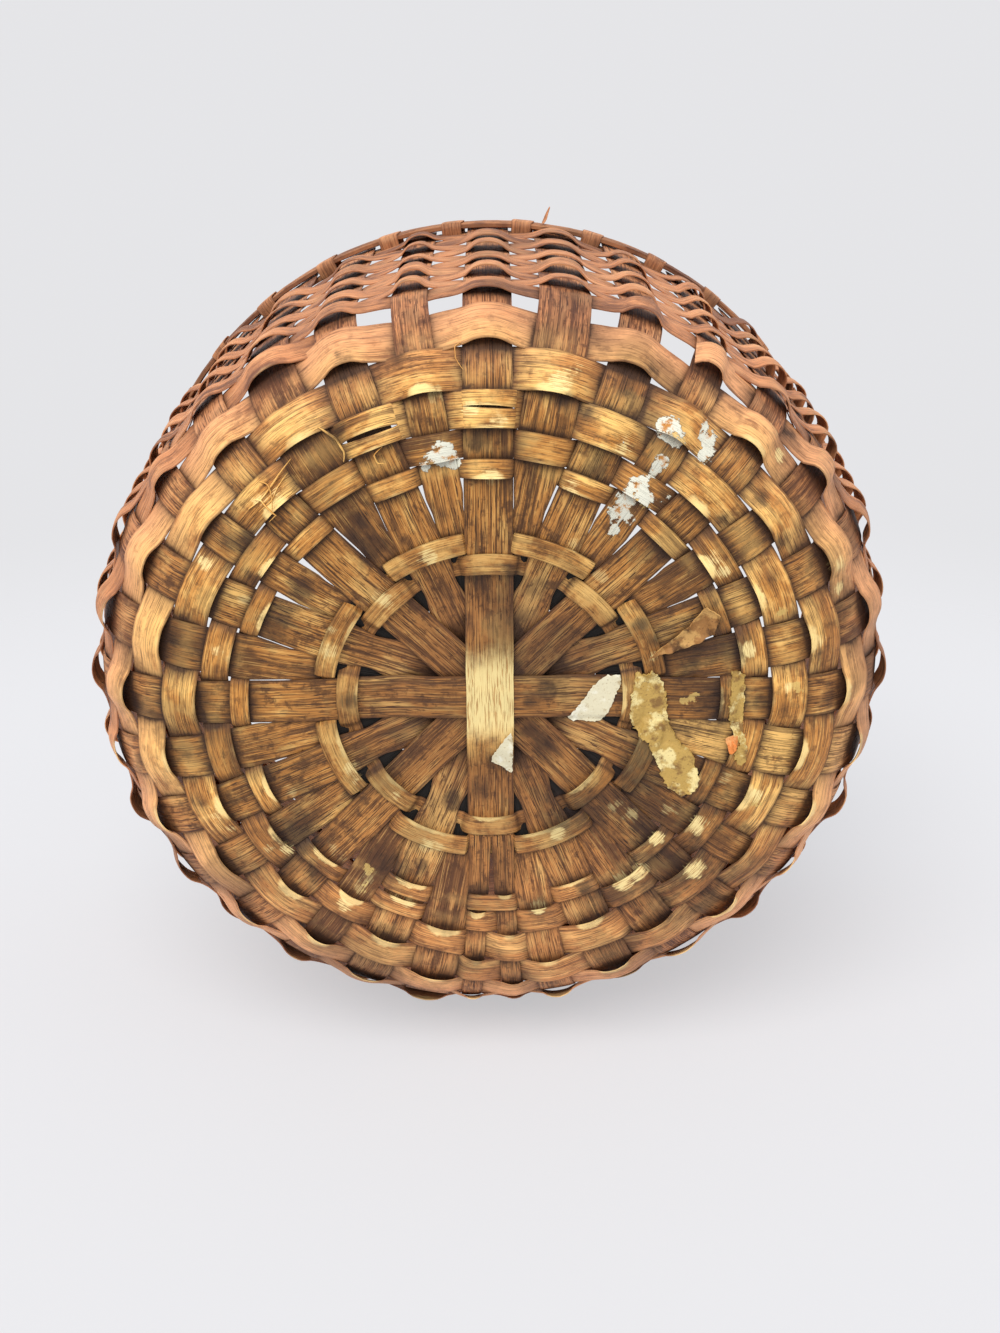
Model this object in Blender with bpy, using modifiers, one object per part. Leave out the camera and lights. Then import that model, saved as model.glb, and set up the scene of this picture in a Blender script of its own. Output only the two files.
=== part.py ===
"""Round harvest basket woven from flat wood splints, standing on its bottom with its mouth up.

Eight long splints cross under the middle and run up the walls as sixteen stakes. Sixteen short
fillers stand between them. Two narrow rings lock the middle, and then one spiral of weaver
strips, over one stake and under the next, climbs to a rim of two hoops and a lashing.
The origin is the centre of the flat circle that the basket stands on.
"""

from math import atan, atan2, cos, hypot, pi, sin, sqrt, tan

import bmesh
import bpy

# Sizes in metres, angles in radians.
SPLINT_COUNT = 8
SPLINT_WIDTH = 0.0220
SPLINT_THICKNESS = 0.0010
FILLER_THICKNESS = 0.0009
FACE_GAP = 0.0003
SIDE_ROOM = 0.0025
EDGE_CLEARANCE = 0.0003

RING_WIDTH = 0.0098
RING_THICKNESS = 0.0008
LEVEL_RUN = 0.0045

FIRST_FILLER_WIDTH = 0.0132
TIP_WIDTH = 0.0012
FIRST_TURN_WIDTH = 0.0085
SECOND_TURN_WIDTH = 0.0125
WEAVER_WIDTH = 0.0164
WEAVER_THICKNESS = 0.0009
WEAVER_SLACK = 0.0003
WEAVER_BULGE = 0.0034
ROW_GAP = 0.0010
JOINT_GAP = 0.0006

BASE_RADIUS = 0.1286
CORNER_RADIUS = 0.0567
CORNER_STEPS = 9
WALL_LEAN = 1.35 * pi / 180
DOME_HEIGHT = 0.0070
DOME_RADIUS = 0.1000
OUT_OF_ROUND = 0.020
LONG_AXIS = 80 * pi / 180

RIM_GAP = 0.0030
HOOP_HEIGHT = 0.0120
OUTER_HOOP_THICKNESS = 0.0030
INNER_HOOP_THICKNESS = 0.0024
HOOP_STEPS = 66
SCARF_STEPS = 5
LASHING_WIDTH = 0.0100
LASHING_THICKNESS = 0.0008
LASHING_SLANT = 0.25
LASHING_SLACK = 0.0006
LASHING_SIDE_ROOM = 0.0010

PRONG_ANGLE = 3.6 * pi / 180
SLIT_CLEARANCE = 0.0006
PAPER_THICKNESS = 0.0002
SIDE_SCRAP_WIDTH = 0.0190
SIDE_SCRAP_REACH = 0.0060
LOWER_SCRAP_WIDTH = 0.0100
LOWER_SCRAP_START = 0.0080
LOWER_SCRAP_END = 0.0120
SCRAP_MARGIN = 0.0008

# Full widths of the sixteen fillers, clockwise from the split stake's opposite side.
FILLER_WIDTHS = (
    0.0220, 0.0150, 0.0165, 0.0180, 0.0220, 0.0150, 0.0190, 0.0150,
    0.0200, 0.0150, 0.0170, 0.0185, 0.0200, 0.0150, 0.0230, 0.0150,
)

# The weaver strips, each from the crossing it starts at to the one it ends at. An even crossing
# passes inside its stake, so a joint there is hidden. The sixth row has lost a piece between
# crossings 179 and 184.
WEAVER_RUNS = (
    (-3, 34), (34, 66), (66, 120), (120, 179), (184, 236),
    (236, 292), (292, 346), (346, 402), (402, 458), (458, 514),
)

# How far up the row below has slipped into the room of the lost piece, by crossing.
SLIPS = {146: 0.0005, 147: 0.0040, 148: 0.0060, 149: 0.0070, 150: 0.0060, 151: 0.0008}

# Colours of the old ash splint, darker and greener under the base, redder on the wall.
STAKE_COLOUR = (0.19, 0.105, 0.035, 1.0)
FILLER_COLOUR = (0.22, 0.12, 0.042, 1.0)
RING_COLOUR = (0.24, 0.14, 0.05, 1.0)
BASE_WEAVER_COLOUR = (0.25, 0.135, 0.045, 1.0)
WALL_WEAVER_COLOUR = (0.34, 0.155, 0.058, 1.0)
RIM_COLOUR = (0.27, 0.125, 0.055, 1.0)
LASHING_COLOUR = (0.42, 0.21, 0.085, 1.0)
PAPER_COLOUR = (0.72, 0.70, 0.62, 1.0)

STAKE_STEP = pi / SPLINT_COUNT
LAYER = SPLINT_THICKNESS + FACE_GAP
CORNER_END = BASE_RADIUS + CORNER_RADIUS * pi / 2
WALL_RADIUS = BASE_RADIUS + CORNER_RADIUS

for item in list(bpy.data.objects):
    bpy.data.objects.remove(item, do_unlink=True)

basket = bpy.data.collections.new("harvest_basket")
bpy.context.scene.collection.children.link(basket)
root = bpy.data.objects.new("basket_root", None)
basket.objects.link(root)


def blend(value, start, end):
    """0 before start, 1 after end, straight between."""
    return min(1.0, max(0.0, (value - start) / (end - start)))


def shell_radius(along):
    """Distance from the basket's axis of a point this far along the shell. The wall leans out."""
    corner = CORNER_RADIUS * sin(blend(along, BASE_RADIUS, CORNER_END) * pi / 2)
    return min(along, BASE_RADIUS) + corner + max(0.0, along - CORNER_END) * tan(WALL_LEAN)


def dome(radius):
    """Height by which the bottom is pushed up into the basket: level where the splints are
    stacked, then falling to the flat outer part."""
    level = hypot(SPLINT_WIDTH / 2 / tan(STAKE_STEP) + EDGE_CLEARANCE, SPLINT_WIDTH / 2)
    return DOME_HEIGHT * 0.5 * (1 + cos(pi * blend(radius, level, DOME_RADIUS)))


def place(angle, along, across, outward):
    """A point of the shell, in the frame of the stake at this angle: along it from the centre,
    across it, and outward from the middle of the stakes' thickness."""
    turn = blend(along, BASE_RADIUS, CORNER_END) * pi / 2
    radius = shell_radius(along) + outward * sin(turn)
    height = CORNER_RADIUS * (1 - cos(turn)) + max(0.0, along - CORNER_END) - outward * cos(turn)
    height += dome(hypot(min(along, BASE_RADIUS), across))
    x = radius * sin(angle) + across * cos(angle)
    y = -radius * cos(angle) + across * sin(angle)
    return out_of_round(x, y, height)


def out_of_round(x, y, z):
    """The basket is a little longer across than it is deep."""
    bearing = atan2(x, -y)
    share = min(1.0, hypot(x, y) / WALL_RADIUS)
    scale = 1 + OUT_OF_ROUND * cos(2 * (bearing - LONG_AXIS)) * share
    return x * scale, y * scale, z


def paint(item, colour, roughness):
    material = bpy.data.materials.new(item.name)
    material.use_nodes = True
    shader = material.node_tree.nodes["Principled BSDF"]
    shader.inputs["Base Color"].default_value = colour
    shader.inputs["Roughness"].default_value = roughness
    shader.inputs["Metallic"].default_value = 0.0
    material.diffuse_color = colour
    item.data.materials.append(material)


def thicken(item, thickness):
    solid = item.modifiers.new("thickness", "SOLIDIFY")
    solid.thickness = thickness
    solid.offset = 0.0
    solid.use_even_offset = True
    solid.use_rim = True
    return solid


def add_object(name, mesh, colour, roughness=0.62):
    item = bpy.data.objects.new(name, mesh)
    basket.objects.link(item)
    item.parent = root
    paint(item, colour, roughness)
    return item


def strip(name, stations, thickness, colour, shares=None):
    """A flat splint: a grid one cell wide, laid over its stations and thickened to both sides.
    Each station is a pair of points, the splint's two edges there."""
    steps = len(stations) - 1
    grid = bmesh.new()
    bmesh.ops.create_grid(grid, x_segments=steps, y_segments=1, size=0.5)
    order = {}
    for vertex in grid.verts:
        step = round((vertex.co.x + 0.5) * steps)
        side = 1 if vertex.co.y > 0 else 0
        order[vertex.index] = step
        vertex.co = stations[step][side]
    mesh = bpy.data.meshes.new(name)
    grid.to_mesh(mesh)
    grid.free()
    item = add_object(name, mesh, colour)
    solid = thicken(item, thickness)
    if shares:
        group = item.vertex_groups.new(name="thickness")
        for index, step in order.items():
            group.add([index], shares[step], "REPLACE")
        solid.vertex_group = group.name
    return item


# The stakes' half widths and places
overlap_45 = SPLINT_WIDTH / 2 / tan(STAKE_STEP)
overlap_22 = SPLINT_WIDTH / 2 / tan(STAKE_STEP / 2)
level_start = overlap_22 + EDGE_CLEARANCE
ring_1 = level_start + LEVEL_RUN + RING_WIDTH / 2 + ROW_GAP
ring_2 = ring_1 + RING_WIDTH + ROW_GAP
slit_start = ring_1 + RING_WIDTH / 2 + SLIT_CLEARANCE
first_edge = (SPLINT_WIDTH + FIRST_FILLER_WIDTH + 2 * SIDE_ROOM) / STAKE_STEP
first_row = first_edge + FIRST_TURN_WIDTH / 2
prong_half = (SPLINT_WIDTH - SIDE_ROOM) / 4


def prong_centre(along):
    """How far each half of the split stake stands from the stake's own line."""
    return max(SPLINT_WIDTH / 2 - prong_half, shell_radius(along) * tan(PRONG_ANGLE))


def prong_slit(along):
    """Half of the slit between the two halves."""
    opened = blend(along, slit_start, first_edge - FIRST_TURN_WIDTH)
    return opened * (prong_centre(along) - prong_half)


def filler_half(number, along):
    """Half width of a filler: its own, or what the splints beside it leave free."""
    free = shell_radius(along) * STAKE_STEP / 2 - SPLINT_WIDTH / 2 - SIDE_ROOM
    if number in (SPLINT_COUNT - 1, SPLINT_COUNT):
        free -= prong_centre(along) + prong_half - SPLINT_WIDTH / 2
    return max(TIP_WIDTH / 2, min(FILLER_WIDTHS[number] / 2, free))


class Stake:
    """One stake that a weaver crosses: its frame's angle, its offset across and its widths."""

    def __init__(self, angle, centre, half, thickness):
        self.angle = angle
        self.centre = centre
        self.half = half
        self.thickness = thickness

    def bearing(self, along):
        return self.angle + atan(self.centre(along) / shell_radius(along))


def splint_stake(angle):
    return Stake(angle, lambda along: 0.0, lambda along: SPLINT_WIDTH / 2, SPLINT_THICKNESS)


def filler_stake(number):
    angle = (number + 0.5) * STAKE_STEP
    return Stake(angle, lambda along: 0.0, lambda along: filler_half(number, along), FILLER_THICKNESS)


def prong_stake(side):
    return Stake(pi, lambda along: side * prong_centre(along), lambda along: prong_half, SPLINT_THICKNESS)


# The stakes in the order that the weaver meets them: it starts at the split stake and runs
# anticlockwise as seen from below.
stakes = [prong_stake(1), prong_stake(-1)]
for place_number in range(1, 2 * SPLINT_COUNT):
    half_turn = SPLINT_COUNT - place_number
    stakes.append(filler_stake(half_turn % (2 * SPLINT_COUNT)))
    stakes.append(splint_stake((half_turn % (2 * SPLINT_COUNT)) * STAKE_STEP))
stakes.append(filler_stake(SPLINT_COUNT))


def weaver_width(turns):
    first = FIRST_TURN_WIDTH + (SECOND_TURN_WIDTH - FIRST_TURN_WIDTH) * blend(turns, 0.95, 1.05)
    return first + (WEAVER_WIDTH - SECOND_TURN_WIDTH) * blend(turns, 1.95, 2.05)


def weaver_line(turns):
    """Distance from the centre, along the shell, of the spiral's middle line. Each turn lies
    against the one before it."""
    if turns < 1:
        lead = (weaver_width(0) + weaver_width(1)) / 2 + ROW_GAP
        return first_row + turns * lead
    inner = weaver_line(turns - 1)
    return inner + (weaver_width(turns - 1) + weaver_width(turns)) / 2 + ROW_GAP


def passes_outside(crossing):
    """The first strip goes over both halves of the split stake together, and plain weave follows."""
    return crossing % 2 == (0 if crossing < 1 else 1)


def weaver_offset(along, stake, width, side):
    """How far the weaver's middle stands off the stake's middle at the stake's edges. In the
    round corner its flat cross section is a chord."""
    touching = stake.thickness / 2 + FACE_GAP + WEAVER_THICKNESS / 2
    bend = blend(along, BASE_RADIUS, BASE_RADIUS + width) ** 2
    chord = width ** 2 / (8 * CORNER_RADIUS) if side > 0 else 0.0
    return touching + bend * (chord + WEAVER_SLACK)


def weaver_pair(stake, middle, width, side, direction, cut):
    """Both edges of a weaver where it bends just past one edge of a stake, or is cut off
    behind it."""
    rows = (middle - width / 2, middle + width / 2)
    bulge = max(0.0, stake.half(middle) - sum(stake.half(along) for along in rows) / 2)
    pair = []
    for along in rows:
        reach = JOINT_GAP / 2 if cut else stake.half(along) + bulge + EDGE_CLEARANCE
        across = stake.centre(along) + direction * reach
        pair.append(place(stake.angle, along, across, side * weaver_offset(along, stake, width, side)))
    return pair


def weaver_crown(stake, middle, width):
    """Both edges of a weaver over the middle of a stake, where it bulges the most. The bulge
    grows through the corner and with the width of the stake."""
    wide = stake.half(middle) / (SPLINT_WIDTH / 2)
    bulge = WEAVER_BULGE * wide * blend(middle, BASE_RADIUS + WEAVER_WIDTH, CORNER_END - WEAVER_WIDTH)
    pair = []
    for along in (middle - width / 2, middle + width / 2):
        outward = weaver_offset(along, stake, width, 1) + bulge
        pair.append(place(stake.angle, along, stake.centre(along), outward))
    return pair


def weaver_stations(first, last):
    """A weaver runs straight from one stake to the next. It lies flat inside a stake, and
    outside one it bulges. An end that lies inside a stake stops at the stake's middle."""
    stations = []
    for crossing in range(first, last + 1):
        stake = stakes[crossing % len(stakes)]
        turns = crossing / len(stakes)
        middle = weaver_line(turns) + SLIPS.get(crossing, 0.0)
        width = weaver_width(turns)
        side = 1 if passes_outside(crossing) else -1
        pairs = []
        for direction, end in ((1, first), (-1, last)):
            cut = side < 0 and crossing == end
            way = -direction if cut else direction
            pairs.append(weaver_pair(stake, middle, width, side, way, cut))
        if side > 0 and middle > BASE_RADIUS + WEAVER_WIDTH:
            pairs.insert(1, weaver_crown(stake, middle, width))
        stations += pairs
    return stations


top_row = weaver_line(WEAVER_RUNS[-1][1] / len(stakes))
hoop_bottom = top_row + WEAVER_WIDTH / 2 + RIM_GAP
hoop_top = hoop_bottom + HOOP_HEIGHT
stake_top = hoop_top - FACE_GAP


# The crossing splints, from the lowest layer up. Each one is level with the others once the
# splints beside it have spread apart.
def layer_height(layer, along):
    """How far inward of the common level a crossing splint lies here."""
    stacked = (layer - (SPLINT_COUNT - 1) / 2) * LAYER
    family = LAYER / 2 if layer >= SPLINT_COUNT / 2 else -LAYER / 2
    spread = blend(along, overlap_45 + EDGE_CLEARANCE, (overlap_45 + overlap_22) / 2)
    level = blend(along, level_start, level_start + LEVEL_RUN)
    return (stacked + (family - stacked) * spread) * (1 - level)


def stake_stops():
    """Distances along a stake at which it is bent."""
    stops = [overlap_45 + EDGE_CLEARANCE, (overlap_45 + overlap_22) / 2, level_start]
    stops += [level_start + LEVEL_RUN, ring_2, DOME_RADIUS]
    stops += [BASE_RADIUS + (CORNER_END - BASE_RADIUS) * step / CORNER_STEPS for step in range(CORNER_STEPS + 1)]
    return stops + [stake_top]


def crossing_edges(angle, layer):
    """Both edges of one half of a crossing splint, from near the centre to the rim."""
    pairs = []
    for along in stake_stops():
        inward = layer_height(layer, along)
        pairs.append([place(angle, along, across, -inward) for across in (-SPLINT_WIDTH / 2, SPLINT_WIDTH / 2)])
    return pairs


def centre_pair(angle, layer):
    inward = layer_height(layer, 0.0)
    return [place(angle, 0.0, across, -inward) for across in (-SPLINT_WIDTH / 2, SPLINT_WIDTH / 2)]


def plain_splint(name, angle, layer):
    near = crossing_edges(angle, layer)
    far = [pair[::-1] for pair in crossing_edges(angle + pi, layer)]
    stations = far[::-1] + [centre_pair(angle, layer)] + near
    return strip(name, stations, SPLINT_THICKNESS, STAKE_COLOUR)


def split_splint(name, layer):
    """The lowest splint, whose far half is split lengthwise into two narrow stakes."""
    sound = crossing_edges(0.0, layer)[::-1] + [centre_pair(0.0, layer)]
    rows = [[pair[1], [(a + b) / 2 for a, b in zip(*pair)], pair[0]] for pair in sound]
    stops = sorted(stake_stops() + [slit_start, first_edge - FIRST_TURN_WIDTH, first_edge])
    forks = []
    for along in stops:
        inward = layer_height(layer, along)
        inner = prong_slit(along)
        outer = SPLINT_WIDTH / 2 + (prong_centre(along) + prong_half - SPLINT_WIDTH / 2)
        marks = (-outer, -inner, inner, outer)
        points = [place(pi, along, across, -inward) for across in marks]
        (rows if along <= slit_start else forks).append(points if along > slit_start else [points[0], points[1], points[3]])
    shape = bmesh.new()
    lines = [[shape.verts.new(point) for point in row] for row in rows]
    for low, high in zip(lines, lines[1:]):
        for side in (0, 1):
            shape.faces.new((low[side], low[side + 1], high[side + 1], high[side]))
    last = lines[-1]
    for side in (0, 1):
        edge = [last[side], last[side + 1]]
        for row in forks:
            ahead = [shape.verts.new(row[2 * side]), shape.verts.new(row[2 * side + 1])]
            shape.faces.new((edge[0], edge[1], ahead[1], ahead[0]))
            edge = ahead
    mesh = bpy.data.meshes.new(name)
    shape.to_mesh(mesh)
    shape.free()
    item = add_object(name, mesh, STAKE_COLOUR)
    thicken(item, SPLINT_THICKNESS)
    return item


split_splint("cross_splint_1", 0)
layer_steps = [SPLINT_COUNT // 2, SPLINT_COUNT // 4, 3 * SPLINT_COUNT // 4]
layer_steps += [step for step in range(1, SPLINT_COUNT) if step % 2]
for layer, step in enumerate(layer_steps, start=1):
    plain_splint(f"cross_splint_{layer + 1}", step * STAKE_STEP, layer)


# The fillers, tucked under the second ring with a narrow end
filler_start = ring_2 - RING_WIDTH / 2 + ROW_GAP
for number in range(2 * SPLINT_COUNT):
    stops = [filler_start, first_edge, (first_edge + BASE_RADIUS) / 2] + stake_stops()[6:]
    fuller = (FILLER_WIDTHS[number] / 2 + SPLINT_WIDTH / 2 + SIDE_ROOM) / (STAKE_STEP / 2)
    if first_edge < fuller < BASE_RADIUS:
        stops.append(fuller)
    edges = []
    for along in sorted(stops):
        half = filler_half(number, along)
        edges.append([place((number + 0.5) * STAKE_STEP, along, across, 0.0) for across in (-half, half)])
    strip(f"filler_{number + 1:02d}", edges, FILLER_THICKNESS, FILLER_COLOUR)


# The two rings that lock the middle. The first goes over every other splint. The second goes
# over the ones between, together with the tips of the two fillers beside each.
def ring_stations(middle, reach_out, reach_in, outside_first):
    stations = []
    offset = SPLINT_THICKNESS / 2 + FACE_GAP + RING_THICKNESS / 2
    for number in range(2 * SPLINT_COUNT):
        outside = (number % 2 == 0) == outside_first
        side = 1 if outside else -1
        for direction in (-1, 1):
            pair = []
            for along in (middle - RING_WIDTH / 2, middle + RING_WIDTH / 2):
                reach = (reach_out(along) if outside else reach_in(along)) + EDGE_CLEARANCE
                pair.append(place(number * STAKE_STEP, along, direction * reach, side * offset))
            stations.append(pair)
    return stations


def plain_reach(along):
    return SPLINT_WIDTH / 2


def triple_reach(along):
    """To the far edge of the filler beside the splint."""
    half = max(filler_half(number, along) for number in range(2 * SPLINT_COUNT))
    return along * sin(STAKE_STEP / 2) + half * cos(STAKE_STEP / 2)


def open_ring(stations, inside_stake):
    """Cuts a ring behind a stake, where its two ends meet."""
    start = 2 * inside_stake + 1
    turned = stations[start:] + stations[:start]
    low, high = turned[-1], turned[0]
    length = hypot(*[a - b for a, b in zip(low[0], high[0])])
    share = (length / 2 - JOINT_GAP / 2) / length
    ends = []
    for near, far in ((high, low), (low, high)):
        ends.append([[a + (b - a) * share for a, b in zip(p, q)] for p, q in zip(near, far)])
    return [ends[0]] + turned + [ends[1]]


first_ring = ring_stations(ring_1, plain_reach, plain_reach, True)
strip("ring_first", open_ring(first_ring, 5), RING_THICKNESS, RING_COLOUR)
second_ring = ring_stations(ring_2, triple_reach, plain_reach, False)
strip("ring_second", open_ring(second_ring, 10), RING_THICKNESS, RING_COLOUR)


# The spiral of weaver strips
for number, (first, last) in enumerate(WEAVER_RUNS, start=1):
    colour = BASE_WEAVER_COLOUR if number < 4 else WALL_WEAVER_COLOUR
    strip(f"weaver_{number:02d}", weaver_stations(first, last), WEAVER_THICKNESS, colour)


# The rim: a hoop outside the stakes and one inside, each with its ends scarfed together
def hoop(name, outer_face, thickness, colour):
    low = place(0.0, hoop_bottom, 0.0, 0.0)[2]
    high = place(0.0, hoop_top, 0.0, 0.0)[2]
    stations = []
    shares = []
    gap = FACE_GAP / thickness
    for step in range(HOOP_STEPS + SCARF_STEPS + 1):
        bearing = 2 * pi * step / HOOP_STEPS
        taper = 0.25 + 0.5 * min(1.0, step / SCARF_STEPS)
        drop = 0.0
        share = 1.0
        if step <= SCARF_STEPS:
            share = taper
        if step >= HOOP_STEPS:
            taper = 0.25 + 0.5 * (step - HOOP_STEPS) / SCARF_STEPS
            drop = taper + gap
            share = 1 - drop
        middle = outer_face - thickness * (drop + share / 2)
        pair = []
        for height in (low, high):
            pair.append(out_of_round(middle * sin(bearing), -middle * cos(bearing), height))
        stations.append(pair)
        shares.append(share)
    return strip(name, stations, thickness, colour, shares)


flatness = cos(pi / HOOP_STEPS)
widest = max(SPLINT_WIDTH / 2, prong_centre(hoop_top) + prong_half)
outer_bore = (sqrt((shell_radius(hoop_top) + SPLINT_THICKNESS / 2) ** 2 + widest ** 2) + FACE_GAP) / flatness
outer_face = outer_bore + OUTER_HOOP_THICKNESS
inner_face = shell_radius(hoop_bottom) - SPLINT_THICKNESS / 2 - FACE_GAP
inner_bore = inner_face - INNER_HOOP_THICKNESS
hoop("rim_hoop_outer", outer_face, OUTER_HOOP_THICKNESS, RIM_COLOUR)
hoop("rim_hoop_inner", inner_face, INNER_HOOP_THICKNESS, RIM_COLOUR)


# The lashing: one strip wound over both hoops, once in each gap between two stakes
def lashing_gap(number):
    """The middle bearing of the gap after a stake, and the strip's width there."""
    stake = stakes[number % len(stakes)]
    after = stakes[(number + 1) % len(stakes)]
    radius = shell_radius(hoop_top)
    here = stake.bearing(hoop_top) - stake.half(hoop_top) / radius
    there = after.bearing(hoop_top) + after.half(hoop_top) / radius
    free = (here - there + pi) % (2 * pi) - pi
    width = min(LASHING_WIDTH, free * radius - 2 * LASHING_SIDE_ROOM)
    return (here - free / 2) % (2 * pi), width


def lash_pair(bearing, width, radius, height):
    pair = []
    for across in (-width / 2, width / 2):
        x = radius * sin(bearing) + across * cos(bearing)
        y = -radius * cos(bearing) + across * sin(bearing)
        pair.append(out_of_round(x, y, height))
    return pair


lash_gap = FACE_GAP + LASHING_SLACK + LASHING_THICKNESS / 2
slant = 2 * pi / len(stakes) * LASHING_SLANT
outside_radius = (outer_face + lash_gap) / cos(slant / 2)
inside_radius = inner_bore * flatness - lash_gap
lash_low = place(0.0, hoop_bottom, 0.0, 0.0)[2] - lash_gap
lash_high = place(0.0, hoop_top, 0.0, 0.0)[2] + lash_gap
wraps = []
for bearing, width in sorted(lashing_gap(number) for number in range(len(stakes))):
    wraps.append(lash_pair(bearing, width, inside_radius, lash_low))
    wraps.append(lash_pair(bearing, width, outside_radius, lash_low))
    wraps.append(lash_pair(bearing + slant, width, outside_radius, lash_high))
    wraps.append(lash_pair(bearing + slant, width, inside_radius, lash_high))
strip("rim_lashing", wraps, LASHING_THICKNESS, LASHING_COLOUR)


# Two bare scraps of an old paper label, still stuck to the lowest splints
def scrap(name, angle, layer, stops, sides):
    lift = SPLINT_THICKNESS / 2 + FACE_GAP + PAPER_THICKNESS / 2
    pairs = []
    for along in stops:
        inward = layer_height(layer, along)
        pairs.append([place(angle, along, across, lift - inward) for across in sides])
    strip(name, pairs, PAPER_THICKNESS, PAPER_COLOUR)


middle_bend = (overlap_45 + overlap_22) / 2
side_stops = (middle_bend - SIDE_SCRAP_REACH, middle_bend, level_start, level_start + LEVEL_RUN)
scrap("paper_scrap_1", pi / 2, 1, side_stops, (-SIDE_SCRAP_WIDTH / 2, SIDE_SCRAP_WIDTH / 2))
outer_edge = SCRAP_MARGIN - SPLINT_WIDTH / 2
lower_stops = (overlap_45 - LOWER_SCRAP_START, overlap_45, overlap_45 + LOWER_SCRAP_END)
scrap("paper_scrap_2", pi, 0, lower_stops, (outer_edge, outer_edge + LOWER_SCRAP_WIDTH))

# The lowest faces stand on the ground
bpy.context.view_layer.update()
lowest = weaver_offset(0.0, stakes[1], FIRST_TURN_WIDTH, 1) + WEAVER_THICKNESS / 2
root.location = (0.0, 0.0, lowest)
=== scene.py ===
"""Looks of a round harvest basket woven from hand-split ash, seen from below."""

from functools import partial
from math import atan, cos, pi, sin, sqrt, tan

import bmesh
import bpy
import numpy as np
from mathutils import Matrix, Vector
from mathutils.bvhtree import BVHTree
from mathutils.geometry import delaunay_2d_cdt


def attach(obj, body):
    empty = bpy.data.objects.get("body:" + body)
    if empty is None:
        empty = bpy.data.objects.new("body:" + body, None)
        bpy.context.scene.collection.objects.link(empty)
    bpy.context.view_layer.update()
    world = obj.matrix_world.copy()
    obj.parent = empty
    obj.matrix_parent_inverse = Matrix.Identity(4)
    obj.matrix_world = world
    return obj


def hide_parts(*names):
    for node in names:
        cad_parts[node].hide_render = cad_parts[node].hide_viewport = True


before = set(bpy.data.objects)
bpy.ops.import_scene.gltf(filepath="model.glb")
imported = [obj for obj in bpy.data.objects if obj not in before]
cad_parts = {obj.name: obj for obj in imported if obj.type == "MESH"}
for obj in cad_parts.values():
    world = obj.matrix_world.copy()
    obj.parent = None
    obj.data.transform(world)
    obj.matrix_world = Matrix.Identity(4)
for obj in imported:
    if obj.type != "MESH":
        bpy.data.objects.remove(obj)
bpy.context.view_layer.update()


# The eight long splints cross under the middle and turn up the wall as sixteen stakes. Each is
# a flat strip, split from an ash log along its growth ring and trimmed with a knife. They lie in
# eight layers at the centre and spread to one level outside the crossing.
stake_sample = 0.0020
splint_waist = 0.0024
waist_place = 0.058
waist_reach = 0.009

# The form that the basket was woven to: a flat round bottom, pushed up a little in the middle,
# a round corner and an upright wall. It is slightly longer across than deep.
base_radius = 0.1286
corner_radius = 0.0567
corner_end = base_radius + corner_radius * pi / 2
wall_radius = base_radius + corner_radius
wall_lean = 1.35 * pi / 180
dome_height = 0.0070
dome_radius = 0.1000
dome_level = 0.0291
long_axis = 80 * pi / 180
out_of_round = 0.020
standing_lift = 0.0017


def share(value, start, end):
    """0 before start, 1 after end, straight between."""
    return np.clip((np.asarray(value, float) - start) / (end - start), 0.0, 1.0)


def form_radius(along):
    """Distance from the basket's axis. The wall leans out a little."""
    corner = corner_radius * np.sin(share(along, base_radius, corner_end) * pi / 2)
    return np.minimum(along, base_radius) + corner + np.maximum(0.0, along - corner_end) * tan(wall_lean)


def on_form(bearing, along, across=0.0, outward=0.0):
    """Points of the form. The bearing turns from the front towards +X, along runs from the
    middle of the bottom up the wall, and outward is square to the form."""
    bearing, along, across, outward = np.broadcast_arrays(bearing, along, across, outward)
    turn = share(along, base_radius, corner_end) * pi / 2
    radius = form_radius(along) + outward * np.sin(turn)
    flat = np.hypot(np.minimum(along, base_radius), across)
    dome = dome_height * 0.5 * (1 + np.cos(pi * share(flat, dome_level, dome_radius)))
    height = corner_radius * (1 - np.cos(turn)) + np.maximum(0.0, along - corner_end)
    height = height - outward * np.cos(turn) + dome + standing_lift
    x = radius * np.sin(bearing) + across * np.cos(bearing)
    y = -radius * np.cos(bearing) + across * np.sin(bearing)
    stretch = np.cos(2 * (np.arctan2(x, -y) - long_axis)) * np.minimum(1.0, np.hypot(x, y) / wall_radius)
    x, y = x * (1 + out_of_round * stretch), y * (1 + out_of_round * stretch)
    return np.stack([x, y, height], axis=-1)


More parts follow.
